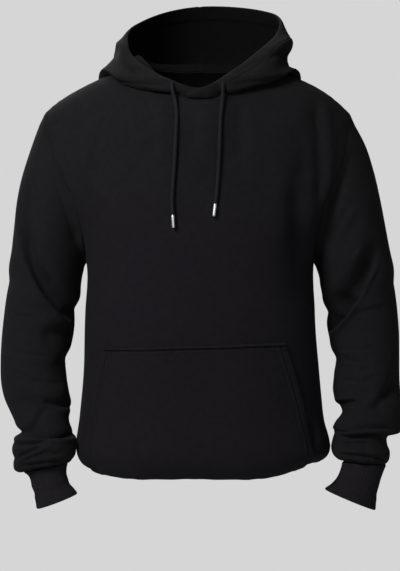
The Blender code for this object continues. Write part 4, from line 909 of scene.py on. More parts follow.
def creased(points, outward, name, held):
    """The points with a piece's folds, creases and swells, held back where held is below 1."""
    for tables, *lips in ((FOLDS, FOLD_LIP, FOLD_SEEN), (CREASES, CREASE_LIP, CREASE_SEEN)):
        if name in tables:
            ways = outward(points)
            lift = held * fold_lift(points, ways, tables[name], *lips)
            points = points + ways * lift[..., None]
    return points + outward(points) * (held * swells(points, SWELL_SEEDS[name]))[..., None]


def line_beside(grid, edge, depth):
    """The points of a grid that lie a depth away from one of its edges."""
    runs = edge_runs(grid)[edge]
    lines = grid
    if edge.endswith("row"):
        lines, runs = grid.swapaxes(0, 1), runs.T
    if edge.startswith("last"):
        lines, runs = lines[:, ::-1], runs[:, ::-1]
    found = []
    for line, run in zip(lines, runs):
        found.append([np.interp(depth, run, line[:, i]) for i in range(3)])
    return np.array(found)


def between(grid, rows_at, columns_at):
    """A grid read at places between its rows and columns."""
    rows_at = np.clip(rows_at, 0, grid.shape[0] - SHORT_OF_LAST)
    columns_at = np.clip(columns_at, 0, grid.shape[1] - SHORT_OF_LAST)
    r, c = rows_at.astype(int), columns_at.astype(int)
    down, across = (rows_at - r)[..., None], (columns_at - c)[..., None]
    above = grid[r, c] * (1 - across) + grid[r, c + 1] * across
    below = grid[r + 1, c] * (1 - across) + grid[r + 1, c + 1] * across
    return above * (1 - down) + below * down


# ------------------------------------------------------------------ walls of cloth
def rim(start, end, away, rounded):
    """Lines that take a wall's edge round from one face to the other."""
    if not rounded:
        return []
    middle, half = (start + end) / 2, (start - end) / 2
    reach = np.linalg.norm(half, axis=-1, keepdims=True)
    out = unit(away) * reach
    turns = [math.radians(turn) for turn in RIM_TURNS]
    return [middle + half * math.cos(turn) + out * math.sin(turn) for turn in turns]


def closed_mesh(name, points, faces, places, materials, worn=None):
    """A closed mesh; places are its corners' places on the flat cloth, and worn says which of
    the materials each face has.
    """
    mesh = bpy.data.meshes.new(name)
    mesh.from_pydata(points.tolist(), [], faces)
    layer = mesh.uv_layers.new(name="cloth")
    layer.data.foreach_set("uv", np.asarray(places, np.float32).ravel())
    bm = bmesh.new()
    bm.from_mesh(mesh)
    bmesh.ops.recalc_face_normals(bm, faces=bm.faces)
    if bm.calc_volume(signed=True) < 0:
        bmesh.ops.reverse_faces(bm, faces=bm.faces)
    bm.to_mesh(mesh)
    bm.free()
    mesh.shade_smooth()
    mesh.set_sharp_from_angle(angle=math.radians(SHARP_FROM))
    for material in materials:
        mesh.materials.append(material)
    if worn:
        mesh.polygons.foreach_set("material_index", worn)
    return added(name, mesh)


def uneven(points, name):
    """The points of a piece after both sides of the garment have settled in their own way."""
    here = "arms" if name.startswith(("sleeve", "cuff")) else "body"
    moved = points.copy()
    for where, across, height, reach_across, reach_height, move_across, move_up in UNEVEN[1:]:
        if where not in (here, "all"):
            continue
        beside = (points[..., 0] - across) / reach_across
        above = (points[..., 2] - height) / reach_height
        near = np.exp(-(beside**2) - above**2)
        moved[..., 0] += near * move_across
        moved[..., 2] += near * move_up
    return moved


def cloth_wall(name, outer, inner, closed, materials, rounded=()):
    """A wall between two grids; its first material is the face's, its last the inside's.

    Its rims are rounded where rounded names first, last or sides.
    """
    outer, inner = uneven(outer, name), uneven(inner, name)
    rows, columns = outer.shape[:2]
    foot = rim(outer[-1], inner[-1], outer[-1] - outer[-2], "last" in rounded)
    head = rim(inner[0], outer[0], outer[0] - outer[1], "first" in rounded)
    loop = np.array([*outer, *foot, *inner[::-1], *head])
    runs = edge_runs(outer)
    down = runs["first_row"].mean(axis=1)
    across = runs["first_column"] - runs["first_column"][:, columns // 2][:, None]
    width = np.linalg.norm(outer[:, 0] - outer[:, -1], axis=1) if closed else np.zeros(rows)
    order = [*range(rows), *[rows - 1] * len(foot), *range(rows - 1, -1, -1), *[0] * len(head)]
    count, spans = len(loop), columns if closed else columns - 1
    inside = range(rows + len(foot), 2 * rows + len(foot) - 1)
    faces, places, worn = [], [], []
    for i in range(count):
        j = (i + 1) % count
        here, there = order[i], order[j]
        worn += [len(materials) - 1 if i in inside else 0] * spans
        for c in range(spans):
            d = (c + 1) % columns
            faces.append((i * columns + c, j * columns + c, j * columns + d, i * columns + d))
            for level, k in ((here, c), (there, c), (there, d), (here, d)):
                turned = across[level, -1] + width[level] if k < c else across[level, k]
                places.append((turned, -down[level]))
    points = loop.reshape(-1, 3)
    if not closed:
        for c, beside in ((0, 1), (columns - 1, columns - 2)):
            away = outer[:, c] - outer[:, beside]
            edge = rim(outer[:, c], inner[:, c], away, "sides" in rounded)
            first_new = len(points)
            points = np.concatenate([points, *edge])
            outer_ids = [r * columns + c for r in range(rows)]
            inner_ids = [(rows + len(foot) + rows - 1 - r) * columns + c for r in range(rows)]
            strips = [outer_ids]
            strips += [[first_new + k * rows + r for r in range(rows)] for k in range(len(edge))]
            strips += [inner_ids]
            for one, other in zip(strips, strips[1:]):
                for r in range(rows - 1):
                    faces.append((one[r], one[r + 1], other[r + 1], other[r]))
                    for level in (r, r + 1, r + 1, r):
                        places.append((across[level, c], -down[level]))
            foot_ids = [(rows + k) * columns + c for k in range(len(foot))]
            head_ids = [(2 * rows + len(foot) + k) * columns + c for k in range(len(head))]
            corners = (
                (rows - 1, foot_ids, [strip[-1] for strip in strips]),
                (0, head_ids[::-1], [strip[0] for strip in strips]),
            )
            for level, round_ids, side_ids in corners:
                ring = side_ids + round_ids[::-1]
                if len(ring) > 2:
                    faces.append(ring)
                    places += [(across[level, c], -down[level])] * len(ring)
    worn += [0] * (len(faces) - len(worn))
    return closed_mesh(name, points, faces, places, materials, worn)


# ------------------------------------------------------------------ the body
def quarter_drop(path):
    """How far down the cloth lies after a path over the rounded shoulder."""
    turn = np.minimum(path / SHOULDER_ROUND, math.pi / 2)
    straight = np.maximum(path - SHOULDER_ROUND * math.pi / 2, 0.0)
    return SHOULDER_ROUND * (1 - np.cos(turn)) + straight


def quarter_path(drop):
    """The path over the rounded shoulder that reaches a drop."""
    turned = np.arccos(1 - np.clip(drop / SHOULDER_ROUND, 0.0, 1.0))
    return SHOULDER_ROUND * turned + np.maximum(drop - SHOULDER_ROUND, 0.0)


def shoulder_height(x):
    """The height of the shoulder line at distances from the middle."""
    return through(column(SHOULDER, "across"), column(SHOULDER, "height"), np.abs(x))


def half_width(z, sign):
    """Half the body's width at a height, to the wearer's left (+1) or right (-1)."""
    height = column(TORSO, "height")
    left = through(height, column(TORSO, "half_left"), z)
    right = through(height, column(TORSO, "half_right"), z)
    return np.where(np.asarray(sign) >= 0, left, right)


def body_point(x, drop, side):
    """The outer face of the front (side -1) or the back (+1), a drop below the shoulder line."""
    z = shoulder_height(x) - drop
    height = column(TORSO, "height")
    depth = through(height, column(TORSO, DEPTH_NAME[side]), z)
    square = through(height, column(TORSO, "square"), z)
    share = np.clip(np.abs(x) / half_width(z, x), 0.0, 1.0)
    round_off = (1 - share**square) ** (1 / square)
    turned = np.sqrt(1 - (1 - np.clip(drop / SHOULDER_ROUND, 0.0, 1.0)) ** 2)
    seam = through(column(SHOULDER, "across"), column(SHOULDER, "depth"), np.abs(x))
    y = seam * np.exp(-drop / SEAM_FADE) + side * (depth * round_off * turned + SEAM_HALF)
    return np.stack([x, y, z], axis=-1)


def armhole_line(side):
    """The armhole seam on the front (-1) or the back (+1), finely, and its running length."""
    z = np.linspace(*column(ARMHOLE, "height")[[0, -1]], SEAM_LINE_STEPS + 1)
    reach = through(column(ARMHOLE, "height"), column(ARMHOLE, "share"), z) * half_width(z, 1)
    line = body_point(reach, np.maximum(shoulder_height(reach) - z, 0.0), side)
    run = running(line)
    return line, run / run[-1]


def edge_direction(z, side, sign):
    """Which way the cut edges at the armhole seam face, at heights."""
    out, forward, up = (
        through(column(ARMHOLE, "height"), column(ARMHOLE, name), z)
        for name in ("out", "forward", "up")
    )
    return unit(np.stack([sign * out, side * forward, up], axis=-1))


def across_shares(neck_steps, side_steps):
    """Columns of a panel as shares of its half width, with one at each neck point."""
    inside = NECK_SHARE * np.sin(np.linspace(0, math.pi / 2, neck_steps + 1))
    outside = np.sin(np.linspace(SIDE_START, math.pi / 2, side_steps + 1)) ** (2 / HEM_SQUARE)
    half = np.concatenate([inside, outside[1:]])
    return np.concatenate([-half[:0:-1], half])


def slanted(shares, z):
    """The columns of a panel at a height, led along the sides of the pocket."""
    heights = column(POCKET_SIDE, "height")
    lead = eased((POCKET_LEAD_FROM - z) / POCKET_LEAD_OVER)
    moved = np.empty(np.shape(shares))
    for sign, name in ((1, "left_share"), (-1, "right_share")):
        edge = through(heights, column(POCKET_SIDE, name), z)
        edge = POCKET_COLUMN + lead * (edge - POCKET_COLUMN)
        size = np.clip(np.abs(shares), 0, 1)
        stretch = (edge - NECK_SHARE) / (POCKET_COLUMN - NECK_SHARE)
        inner = NECK_SHARE + (size - NECK_SHARE) * stretch
        outer = 1 - (1 - size) * (1 - edge) / (1 - POCKET_COLUMN)
        slid = np.where(size <= NECK_SHARE, size, np.where(size <= POCKET_COLUMN, inner, outer))
        moved = np.where(np.sign(shares) == sign, sign * slid, moved)
    return np.where(shares == 0, 0.0, moved)


def hem_sag(points):
    """The points after the hem has sunk at the front."""
    sag = eased((SAG_FROM - points[..., 2]) / SAG_OVER) * HEM_SAG
    points[..., 2] -= sag * np.clip(-points[..., 1] / SAG_DEPTH, 0.0, 1.0)
    return points


def shoulder_row(side, shares, t):
    """A row of a panel beside the armhole, a share t of the seam's length down."""
    line, run = armhole_line(side)
    z_edge = np.interp(t, run, line[:, 2])
    reach = np.interp(t, run, line[:, 0])
    x = shares * reach
    edge_drop = max(float(shoulder_height(reach)) - z_edge, 0.0) if t > 0 else 0.0
    level = eased(t)
    drop = (1 - level) * edge_drop + level * (shoulder_height(x) - z_edge)
    neck_drop = NECK_FRONT_DROP if side < 0 else NECK_BACK_DROP
    roundness = SCOOP_ROUND + SCOOP_SOFTENS * min(t / SCOOP_SOFT_AT, 1.0)
    scoop = np.clip(1 - (shares / NECK_SHARE) ** 2, 0.0, 1.0) ** roundness
    path = quarter_path(np.maximum(drop, 0.0))
    path = path + quarter_path(neck_drop) * scoop * (1 - level) ** 2
    return body_point(x, quarter_drop(path), side)


def side_row(side, shares, z):
    """A level row of a panel below the armhole; z may differ from column to column."""
    x = slanted(shares, z) * half_width(z, shares)
    return body_point(x, shoulder_height(x) - z, side)


def rolled_row(side, shares, place):
    """A row of the hem's roll, at a place along its table."""
    places = np.arange(len(HEM_ROLL) - 1)
    inset = through(places, column(HEM_ROLL, "inset"), place)
    z = through(places, column(HEM_ROLL, "height"), place)
    waist = column(HEM_ROLL, "height")[0]
    depth = through(column(TORSO, "height"), column(TORSO, DEPTH_NAME[side]), waist) - inset
    across = slanted(shares, waist)
    x = across * (half_width(waist, shares) - inset)
    y = side * (depth * (1 - np.abs(across) ** HEM_SQUARE) ** (1 / HEM_SQUARE) + SEAM_HALF)
    return np.stack([x, y, np.full(len(x), z)], axis=-1)


def panel(side, shares):
    """The outer face of the front or the back, from the shoulder seam to the hem seam."""
    bottom, waist = column(ARMHOLE, "height")[-1], column(HEM_ROLL, "height")[0]
    down = np.linspace(0, 1, ARMHOLE_ROWS + 1) ** ARMHOLE_CROWDING
    rows = [shoulder_row(side, shares, t) for t in down]
    rows += [side_row(side, shares, z) for z in np.linspace(bottom, waist, SEAM_ROWS + 1)[1:]]
    places = np.linspace(0, len(HEM_ROLL) - 2, ROLL_ROWS + 1)[1:]
    rows += [rolled_row(side, shares, place) for place in places]
    return hem_sag(np.array(rows))


def panel_outward(points, side, shares):
    """Outward directions on a panel; its cut edges face along their seams."""
    outward = -side * normals_of(points, False)
    outward[:, [0, -1], 1] = 0.0
    outward[0, np.abs(shares) > NECK_SHARE - CLOSE, 1] = 0.0
    outward[-1, :, 2] = 0.0
    outward = unit(outward)
    for edge, sign in ((0, -1), (-1, 1)):
        z = points[: ARMHOLE_ROWS + 1, edge, 2]
        outward[: ARMHOLE_ROWS + 1, edge] = edge_direction(z, side, sign)
    return outward


def panel_face(name, side, shares):
    """A panel's creased outer face, its outward directions and the runs from its edges."""
    def outward(points):
        return panel_outward(points, side, shares)

    flat = panel(side, shares)
    runs = edge_runs(flat)
    held = eased(np.minimum.reduce(list(runs.values())) / SEAM_HOLDS)
    face = creased(flat, outward, name, held)
    wave = uneven_wave(runs["first_column"][-1], GATHER_WIDTH, SWELL_SEEDS[name])
    near = np.exp(-((runs["last_row"] / GATHER_REACH) ** 2))
    gathers = GATHER_RISE * wave[None, :] * near * held
    face = face + outward(face) * gathers[..., None]
    return face, outward(face), runs


def make_panel(name, side, materials):
    """The front or the back.

    Returns the piece, its outer face, that face before the seams' relief, and the outward
    directions there.
    """
    shares = across_shares(TORSO_NECK_STEPS, TORSO_SIDE_STEPS)
    face, ways, runs = panel_face(name, side, shares)
    beside = np.minimum(runs["first_column"], runs["last_column"])
    at_armhole = (np.arange(len(face)) <= ARMHOLE_ROWS)[:, None]
    armhole = ARMHOLE_SOFTENS * relief(SEAM_RELIEF, beside)
    lift = np.where(at_armhole, armhole, relief(PLAIN_RELIEF, beside))
    lift += relief(SEAM_RELIEF, runs["first_row"]) + relief(SEAM_RELIEF, runs["last_row"])
    lift += puckers(runs["first_row"], beside, SWELL_SEEDS[name])
    lift += puckers(runs["first_column"], runs["first_row"], SWELL_SEEDS[name])
    outer = face + ways * lift[..., None]
    made = cloth_wall(name + "_cloth", outer, face - ways * WALL, False, materials)
    return made, outer, face, ways


# ------------------------------------------------------------------ sleeves and cuffs
def section(table, k, angles, sign):
    """One closed section of a sleeve or cuff table, at row place k."""
    places = np.arange(len(table) - 1)
    outer_x, outer_z, inner_x, inner_z, middle, half_depth, square = (
        through(places, column(table, name), k) for name in SLEEVE_COLUMNS
    )
    along = np.sign(np.cos(angles)) * np.abs(np.cos(angles)) ** (2 / square)
    forward = np.sign(np.sin(angles)) * np.abs(np.sin(angles)) ** (2 / square)
    x = (outer_x + inner_x) / 2 + along * (outer_x - inner_x) / 2
    z = (outer_z + inner_z) / 2 + along * (outer_z - inner_z) / 2
    y = middle - forward * half_depth
    return np.stack([sign * x, y, z], axis=-1)


def armhole_loop(angles, sign):
    """The armhole seam, from the shoulder down the front and up the back."""
    turn = np.where(angles <= math.pi, angles, 2 * math.pi - angles) / math.pi
    loops = []
    for side in (-1, 1):
        line, run = armhole_line(side)
        loops.append(np.stack([np.interp(turn, run, line[:, i]) for i in range(3)], -1))
    loop = np.where((angles <= math.pi)[:, None], *loops)
    loop[:, 0] *= sign
    return loop


def sleeve_points(table, sign, angles, long_steps):
    """The outer face of a sleeve, from the armhole seam to the cuff seam."""
    knots = [armhole_loop(angles, sign)]
    knots += [section(table, k, angles, sign) for k in range(len(table) - 1)]
    knots = np.array(knots)
    spread = np.linalg.norm(np.diff(knots, axis=0), axis=2).mean(axis=1)
    places = np.concatenate([[0], np.cumsum(spread)])
    t = np.linspace(0, 1, long_steps + 1)
    points = through(places, knots, places[-1] * (t - SLEEVE_CROWDING * np.sin(2 * math.pi * t)))
    seam = points[0]
    along = np.roll(seam, -1, axis=0) - np.roll(seam, 1, axis=0)
    apart = np.cross(along, seam_directions(seam, sign, angles))
    apart *= np.sign((apart * (points[1] - seam)).sum(axis=1, keepdims=True))
    points[0] += ARMHOLE_GAP * unit(apart)
    return points


def seam_directions(seam, sign, angles):
    """Which way the sleeve's cut edge faces, all round the armhole seam."""
    ways = [edge_direction(seam[:, 2], side, sign) for side in (-1, 1)]
    return np.where((angles <= math.pi)[:, None], *ways)


def sleeve_outward(points, sign, angles):
    """Outward directions on a sleeve; its cut edge faces along the armhole seam."""
    outward = -sign * normals_of(points, True)
    outward[0] = seam_directions(points[0], sign, angles)
    return outward


def sleeve_angles():
    """Directions round a sleeve, closer together at the underarm seam."""
    t = np.linspace(0, 1, SLEEVE_COLUMNS_ROUND, endpoint=False)
    return 2 * math.pi * t + UNDERARM_CROWDING * np.sin(2 * math.pi * t)


def make_sleeve(name, table, sign, materials):
    """A sleeve; returns the piece and its outer face."""
    angles = sleeve_angles()

    def outward(points):
        return sleeve_outward(points, sign, angles)

    plain = sleeve_points(table, sign, angles, SLEEVE_ROWS)
    runs = edge_runs(plain)
    held = eased(runs["first_row"] / SEAM_HOLDS) * eased(runs["last_row"] / CUFF_SEAM_HOLDS)
    face = creased(plain, outward, name, held)
    seed = SWELL_SEEDS[name]
    wave = uneven_wave(runs["first_column"][-1], SLEEVE_GATHER_WIDTH, seed)
    near = np.exp(-((runs["last_row"] / SLEEVE_GATHER_REACH) ** 2))
    near = near * eased(runs["last_row"] / SLEEVE_GATHER_FROM)
    gathers = SLEEVE_GATHER_RISE * wave[None, :] * near
    face = face + outward(face) * gathers[..., None]
    ways = outward(face)
    underarm = np.argmin(np.abs(angles - math.pi))
    beside = np.abs(runs["first_column"] - runs["first_column"][:, underarm][:, None])
    lift = ARMHOLE_SOFTENS * relief(SEAM_RELIEF, runs["first_row"])
    lift += ARMHOLE_SOFTENS * relief(SEAM_RELIEF, runs["last_row"]) + relief(PLAIN_RELIEF, beside)
    lift += puckers(runs["first_column"], runs["first_row"], seed)
    outer = face + ways * lift[..., None]
    made = cloth_wall(name + "_cloth", outer, face - ways * WALL, True, materials)
    return made, outer


def rib_rise(turn, rise):
    """The height of a doubled rib; turn counts ribs, with a rib's middle at whole numbers."""
    off = np.abs(turn - np.round(turn))
    ridge = eased((RIB_HALF - off) / RIB_SIDE)
    return rise * (ridge - RIB_NOTCH * np.exp(-((off / RIB_NOTCH_WIDTH) ** 2)))


def make_cuff(name, table, sign, material):
    """A rib-knit cuff; returns the piece and its outer face."""
    angles = np.linspace(0, 2 * math.pi, CUFF_RIB_POINTS * CUFF_RIBS, endpoint=False)
    rows = np.linspace(0, 1, CUFF_ROWS + 1)
    rows = (len(table) - 2) * (rows - CUFF_CROWDING * np.sin(2 * math.pi * rows))
    plain = np.array([section(table, k, angles, sign) for k in rows])
    outward = -sign * normals_of(plain, True)
    runs = edge_runs(plain)
    from_seam, from_edge = runs["first_row"], runs["last_row"]
    seed = SWELL_SEEDS[name.replace("cuff", "sleeve")]
    slack = CUFF_SLACK * uneven_wave(from_seam, CUFF_SLACK_LENGTH, seed)
    slack = slack * eased(from_seam / SEAM_HOLDS) * eased(from_edge / SEAM_HOLDS)
    ribs = rib_rise(angles * CUFF_RIBS / (2 * math.pi), CUFF_RIB_RISE)[None, :]
    ribs = ribs * eased(from_seam / CUFF_RIBS_FROM)
    ribs = ribs * eased(from_edge / CUFF_RIBS_FROM + CUFF_RIBS_AT_EDGE)
    lift = slack + ribs + relief(PLAIN_RELIEF, from_seam)
    outer = plain + outward * lift[..., None]
    inner = plain - outward * (RIB_WALL - slack[..., None])
    made = cloth_wall(name + "_knit", outer, inner, True, (material,), ("last",))
    return made, outer


# ------------------------------------------------------------------ hem band
def hip_loop(shares):
    """The hem seam all round, from the right side across the front and back again."""
    last = len(HEM_ROLL) - 2
    front, back = (rolled_row(side, shares, last) for side in (-1, 1))
    loop = np.concatenate([front[:-1], back[:0:-1]])
    return hem_sag(loop)


def make_hem_band(material):
    """The ribbed band, turned up inside the hem and lying round the hips."""
    seam = hip_loop(across_shares(TORSO_NECK_STEPS, TORSO_SIDE_STEPS))
    seam = np.concatenate([seam, seam[:1]])
    run = running(seam)
    turns = np.linspace(0, BAND_RIBS, BAND_RIBS * BAND_RIB_POINTS, endpoint=False)
    at = turns / BAND_RIBS * run[-1]
    loop = np.stack([np.interp(at, run, seam[:, i]) for i in range(3)], axis=-1)
    rises = np.linspace(SEAM_GAP, BAND_HEIGHT, BAND_ROWS + 1)
    hips = np.array([loop + np.array([0.0, 0.0, rise]) for rise in rises])
    outward = normals_of(hips, True)
    outward *= np.sign((outward[..., :2] * hips[..., :2]).sum(axis=2, keepdims=True))
    ribs = rib_rise(turns, CUFF_RIB_RISE)[None, :, None]
    inner = hips - outward * (RIB_WALL - WALL + ribs)
    outer = hips + outward * WALL
    return cloth_wall("hem_band_knit", outer, inner, True, (material,), ("last",))


# ------------------------------------------------------------------ hood
def neckline(angles, steps):
    """The neckline seam of the panels in directions given in degrees from the front."""
    shares = NECK_SHARE * np.sin(np.linspace(-math.pi / 2, math.pi / 2, 2 * steps + 1))
    loop = np.concatenate([shoulder_row(-1, shares, 0.0), shoulder_row(1, shares[1:-1], 0.0)])
    turn = np.degrees(np.arctan2(loop[:, 0], -loop[:, 1]))
    order = np.argsort(turn)
    turn, loop = turn[order], loop[order]
    turn = np.concatenate([turn - 360, turn, turn + 360])
    loop = np.concatenate([loop, loop, loop])
    found = np.stack([np.interp(angles, turn, loop[:, i]) for i in range(3)], -1)
    found[:, 2] += HOOD_LIFT
    return found


def resting(points, angles):
    """The points after they have been raised clear of the shoulders they lie on."""
    x, y = points[..., 0], points[..., 1]
    side = np.where(y < HOOD_RESTS_BEHIND, -1, 1)
    seam = through(column(SHOULDER, "across"), column(SHOULDER, "depth"), np.abs(x))
    z = points[..., 2]
    height = column(TORSO, "height")
    level = shoulder_height(x)
    for _ in range(RESTING_ROUNDS):
        drop = np.maximum(shoulder_height(x) - level, 0.0)
        depths = [through(height, column(TORSO, DEPTH_NAME[s]), level) for s in (-1, 1)]
        square = through(height, column(TORSO, "square"), level)
        share = np.clip(np.abs(x) / half_width(level, x), 0.0, 1.0)
        depth = np.where(side < 0, *depths) * (1 - share**square) ** (1 / square)
        turned = np.abs(y - seam * np.exp(-drop / SEAM_FADE)) / depth
        fallen = 1 - np.sqrt(np.clip(1 - turned**2, 0.0, 1.0))
        level = shoulder_height(x) - SHOULDER_ROUND * fallen
    lift = HOOD_CLEAR / np.sqrt(np.clip(1 - turned**2, HOOD_STEEPEST, 1.0))
    raised = points.copy()
    over = np.where(turned < 1.0, np.maximum(level + lift - z, 0.0), 0.0)
    raised[..., 2] += over * eased((angles - HOOD_RESTS_FROM) / HOOD_RESTS_FADE)
    return raised


def hood_line(name, angles, sign):
    """Reach and height of one line round the hood, for a half's own angles from the front."""
    reach, height = row(HOOD_REACH, name), row(HOOD_HEIGHT, name)
    lean = np.zeros(len(HOOD_LEAN[0]) - 1)
    if any(r[0] == name for r in HOOD_LEAN[1:]):
        lean = sign * row(HOOD_LEAN, name)
    turns = (-HOOD_ANGLES[1], *HOOD_ANGLES, 360 - HOOD_ANGLES[-2])
    found = []
    for level, change in zip((reach, height), np.split(lean, 2)):
        own = level.copy()
        own[1:-1] += change
        found.append(through(turns, (level[1] - change[0], *own, level[-2] - change[3]), angles))
    return found


def hood_points(sign, angles, shares, neck_steps):
    """The outer face of a hood half, from the neckline seam to the rim."""
    way = np.radians(angles)
    lines = [neckline(sign * angles, neck_steps)]
    for name in (r[0] for r in HOOD_REACH[1:]):
        reach, height = hood_line(name, angles, sign)
        lines.append(np.stack([sign * reach * np.sin(way), -reach * np.cos(way), height], -1))
    lines = np.array(lines)
    radial = np.stack([sign * np.sin(way), -np.cos(way), 0 * way], -1)
    place = np.linspace(0, 1, len(lines))[:, None, None]
    upright = lines[0] + (lines[-1] - lines[0]) * place
    upright = upright + radial * HOOD_SWELL * np.sin(math.pi * place)
    fading = eased((np.abs(angles) - HOOD_UPRIGHT_TO) / HOOD_UPRIGHT_FADE)
    lines += (upright - lines) * (1 - fading)[None, :, None]
    cuts = ((HOOD_UNDERLAP, HOOD_UNDERLAP_CUT), (HOOD_OVERLAP, HOOD_OVERLAP_CUT))
    lap, cut = cuts[sign > 0]
    reached = 1 - cut * np.clip(-angles / lap, 0.0, 1.0) ** HOOD_CUT_CURVE
    grid = np.empty((len(shares), len(angles), 3))
    for c in range(len(angles)):
        places = running(lines[:, c])
        grid[:, c] = through(places, lines[:, c], shares * reached[c] * places[-1])
    grid[1:] = resting(grid[1:], angles)
    if sign > 0:
        lifted_to = HOOD_UNDERLAP + HOOD_LAP_FLAT + HOOD_LAP_FADE
        grid += radial * (HOOD_LAP_LIFT * eased((lifted_to - angles) / HOOD_LAP_FADE))[:, None]
    grid[..., 0] += sign * SEAM_HALF * (angles > HOOD_SEAM_FROM)
    return grid


def hood_outward(points, sign):
    """Outward directions on a hood half; its edge at the crown seam faces along the seam."""
    outward = -sign * normals_of(points, False)
    outward[:, -1, 0] = 0.0
    return unit(outward)


def hood_angles(sign, steps):
    """Directions of a hood half's columns, closer together at the front."""
    start = -HOOD_OVERLAP if sign > 0 else -HOOD_UNDERLAP
    t = np.linspace(0, 1, steps + 1)
    share = (1 - HOOD_FRONT_CROWDING) * t + HOOD_FRONT_CROWDING * t**2
    return start + (180 - start) * share


def make_hood_half(name, sign, materials):
    """Half of the hood; returns the piece and its outer face."""
    t = np.linspace(0, 1, HOOD_ROWS + 1)
    shares = 1 - (1 - t) ** HOOD_CROWDING
    angles = hood_angles(sign, HOOD_ROUND_STEPS)

    def outward(points):
        return hood_outward(points, sign)

    plain = hood_points(sign, angles, shares, TORSO_NECK_STEPS)
    runs = edge_runs(plain)
    held = eased(np.minimum(runs["first_row"], runs["last_column"]) / SEAM_HOLDS)
    held = held * eased(np.minimum(runs["last_row"], runs["first_column"]) / CHANNEL_DEEP)
    face = creased(plain, outward, name, held)
    ways = outward(face)
    rim_away = runs["last_row"]
    lift = relief(SEAM_RELIEF, runs["last_column"]) + relief(PLAIN_RELIEF, runs["first_row"])
    lift += relief(CHANNEL_RELIEF, rim_away) * eased(runs["first_row"] / CHANNEL_CLEAR)
    lift += puckers(runs["first_column"], np.abs(rim_away - CHANNEL_DEEP), SWELL_SEEDS[name])
    thick = WALL + CHANNEL_WALL * eased((CHANNEL_DEEP - rim_away) / CHANNEL_STEP)
    outer = face + ways * lift[..., None]
    inner = face - ways * thick[..., None]
    made = cloth_wall(name + "_cloth", outer, inner, False, materials, ("last", "sides"))
    return made, outer


# ------------------------------------------------------------------ pocket
def make_pocket(front, ways, materials):
    """The pouch pocket, laid on the front's own face; returns the piece and its outer face."""
    bottom, waist = column(ARMHOLE, "height")[-1], column(HEM_ROLL, "height")[0]
    s = np.linspace(-1, 1, POCKET_COLUMNS + 1)
    across = (1 - POCKET_SIDE_CROWDING) * s + POCKET_SIDE_CROWDING * np.sin(math.pi * s / 2)
    t = np.linspace(0, 1, POCKET_ROWS + 1)[:, None]
    down = (1 - POCKET_TOP_CROWDING) * t + POCKET_TOP_CROWDING * t**2
    top_z = np.interp(across, (-1, 1), POCKET_TOP)
    top = ARMHOLE_ROWS + SEAM_ROWS * (top_z - bottom) / (waist - bottom)
    last = ARMHOLE_ROWS + SEAM_ROWS + POCKET_END * ROLL_ROWS
    rows_at = top[None, :] + (last - top[None, :]) * down
    reach = TORSO_NECK_STEPS + POCKET_COLUMN_SHARE * TORSO_SIDE_STEPS
    middle = TORSO_NECK_STEPS + TORSO_SIDE_STEPS
    columns_at = np.broadcast_to(middle + reach * across[None, :], rows_at.shape)
    under = between(front, rows_at, columns_at)
    outward = unit(between(ways, rows_at, columns_at))
    runs = edge_runs(under)
    beside = np.minimum(runs["first_column"], runs["last_column"])
    gape = POCKET_GAPE * np.exp(-beside / POCKET_GAPE_REACH) * np.sin(math.pi * t)
    inner = under + outward * (POCKET_GAP + gape)[..., None]
    lift = relief(POCKET_TOP_RELIEF, runs["first_row"]) + relief(POCKET_SIDE_RELIEF, beside)
    lift += puckers(runs["first_column"], runs["first_row"], POCKET_SEED)
    lift += puckers(runs["first_row"], beside, POCKET_SEED)
    outer = inner + outward * (WALL + lift)[..., None]
    made = cloth_wall("pocket_cloth", outer, inner, False, materials, ("first", "last", "sides"))
    return made, outer


# ------------------------------------------------------------------ drawcords
def along_route(route, step):
    """A smooth line through a route's points, a step apart, and its running length."""
    route = np.array(route, float)
    run = running(route)
    line = through(run, route, np.linspace(0, run[-1], int(run[-1] / step) + 1))
    return line, running(line)


def tube(name, line, radii, material):
    """A round closed tube about a line; radii has a row for each of its points."""
    tangent = unit(np.gradient(line, axis=0))
    side = unit(np.array([1.0, 0.0, 0.0]) - tangent * tangent[:, :1])
    front = np.cross(tangent, side)
    count, round_steps = radii.shape
    turn = np.linspace(0, 2 * math.pi, round_steps, endpoint=False)
    cosine, sine = np.cos(turn)[None, :, None], np.sin(turn)[None, :, None]
    ring = side[:, None] * cosine + front[:, None] * sine
    points = (line[:, None] + ring * radii[..., None]).reshape(-1, 3)
    gone = running(line)
    width = radii.mean() * 2 * math.pi / round_steps
    faces, places = [], []
    for r in range(count - 1):
        for c in range(round_steps):
            d = (c + 1) % round_steps
            here, below = r * round_steps, (r + 1) * round_steps
            faces.append((here + c, below + c, below + d, here + d))
            for level, k in ((r, c), (r + 1, c), (r + 1, c + 1), (r, c + 1)):
                places.append((k * width, -gone[level]))
    for level in (0, count - 1):
        faces.append([level * round_steps + c for c in range(round_steps)])
        places += [(c * width, -gone[level]) for c in range(round_steps)]
    return closed_mesh(name, points, faces, places, (material,))


def free_end(route):
    """The last point of a drawcord's route, and which way the cord points there."""
    end = np.array(route[-1])
    return end, unit(end - np.array(route[-2]))


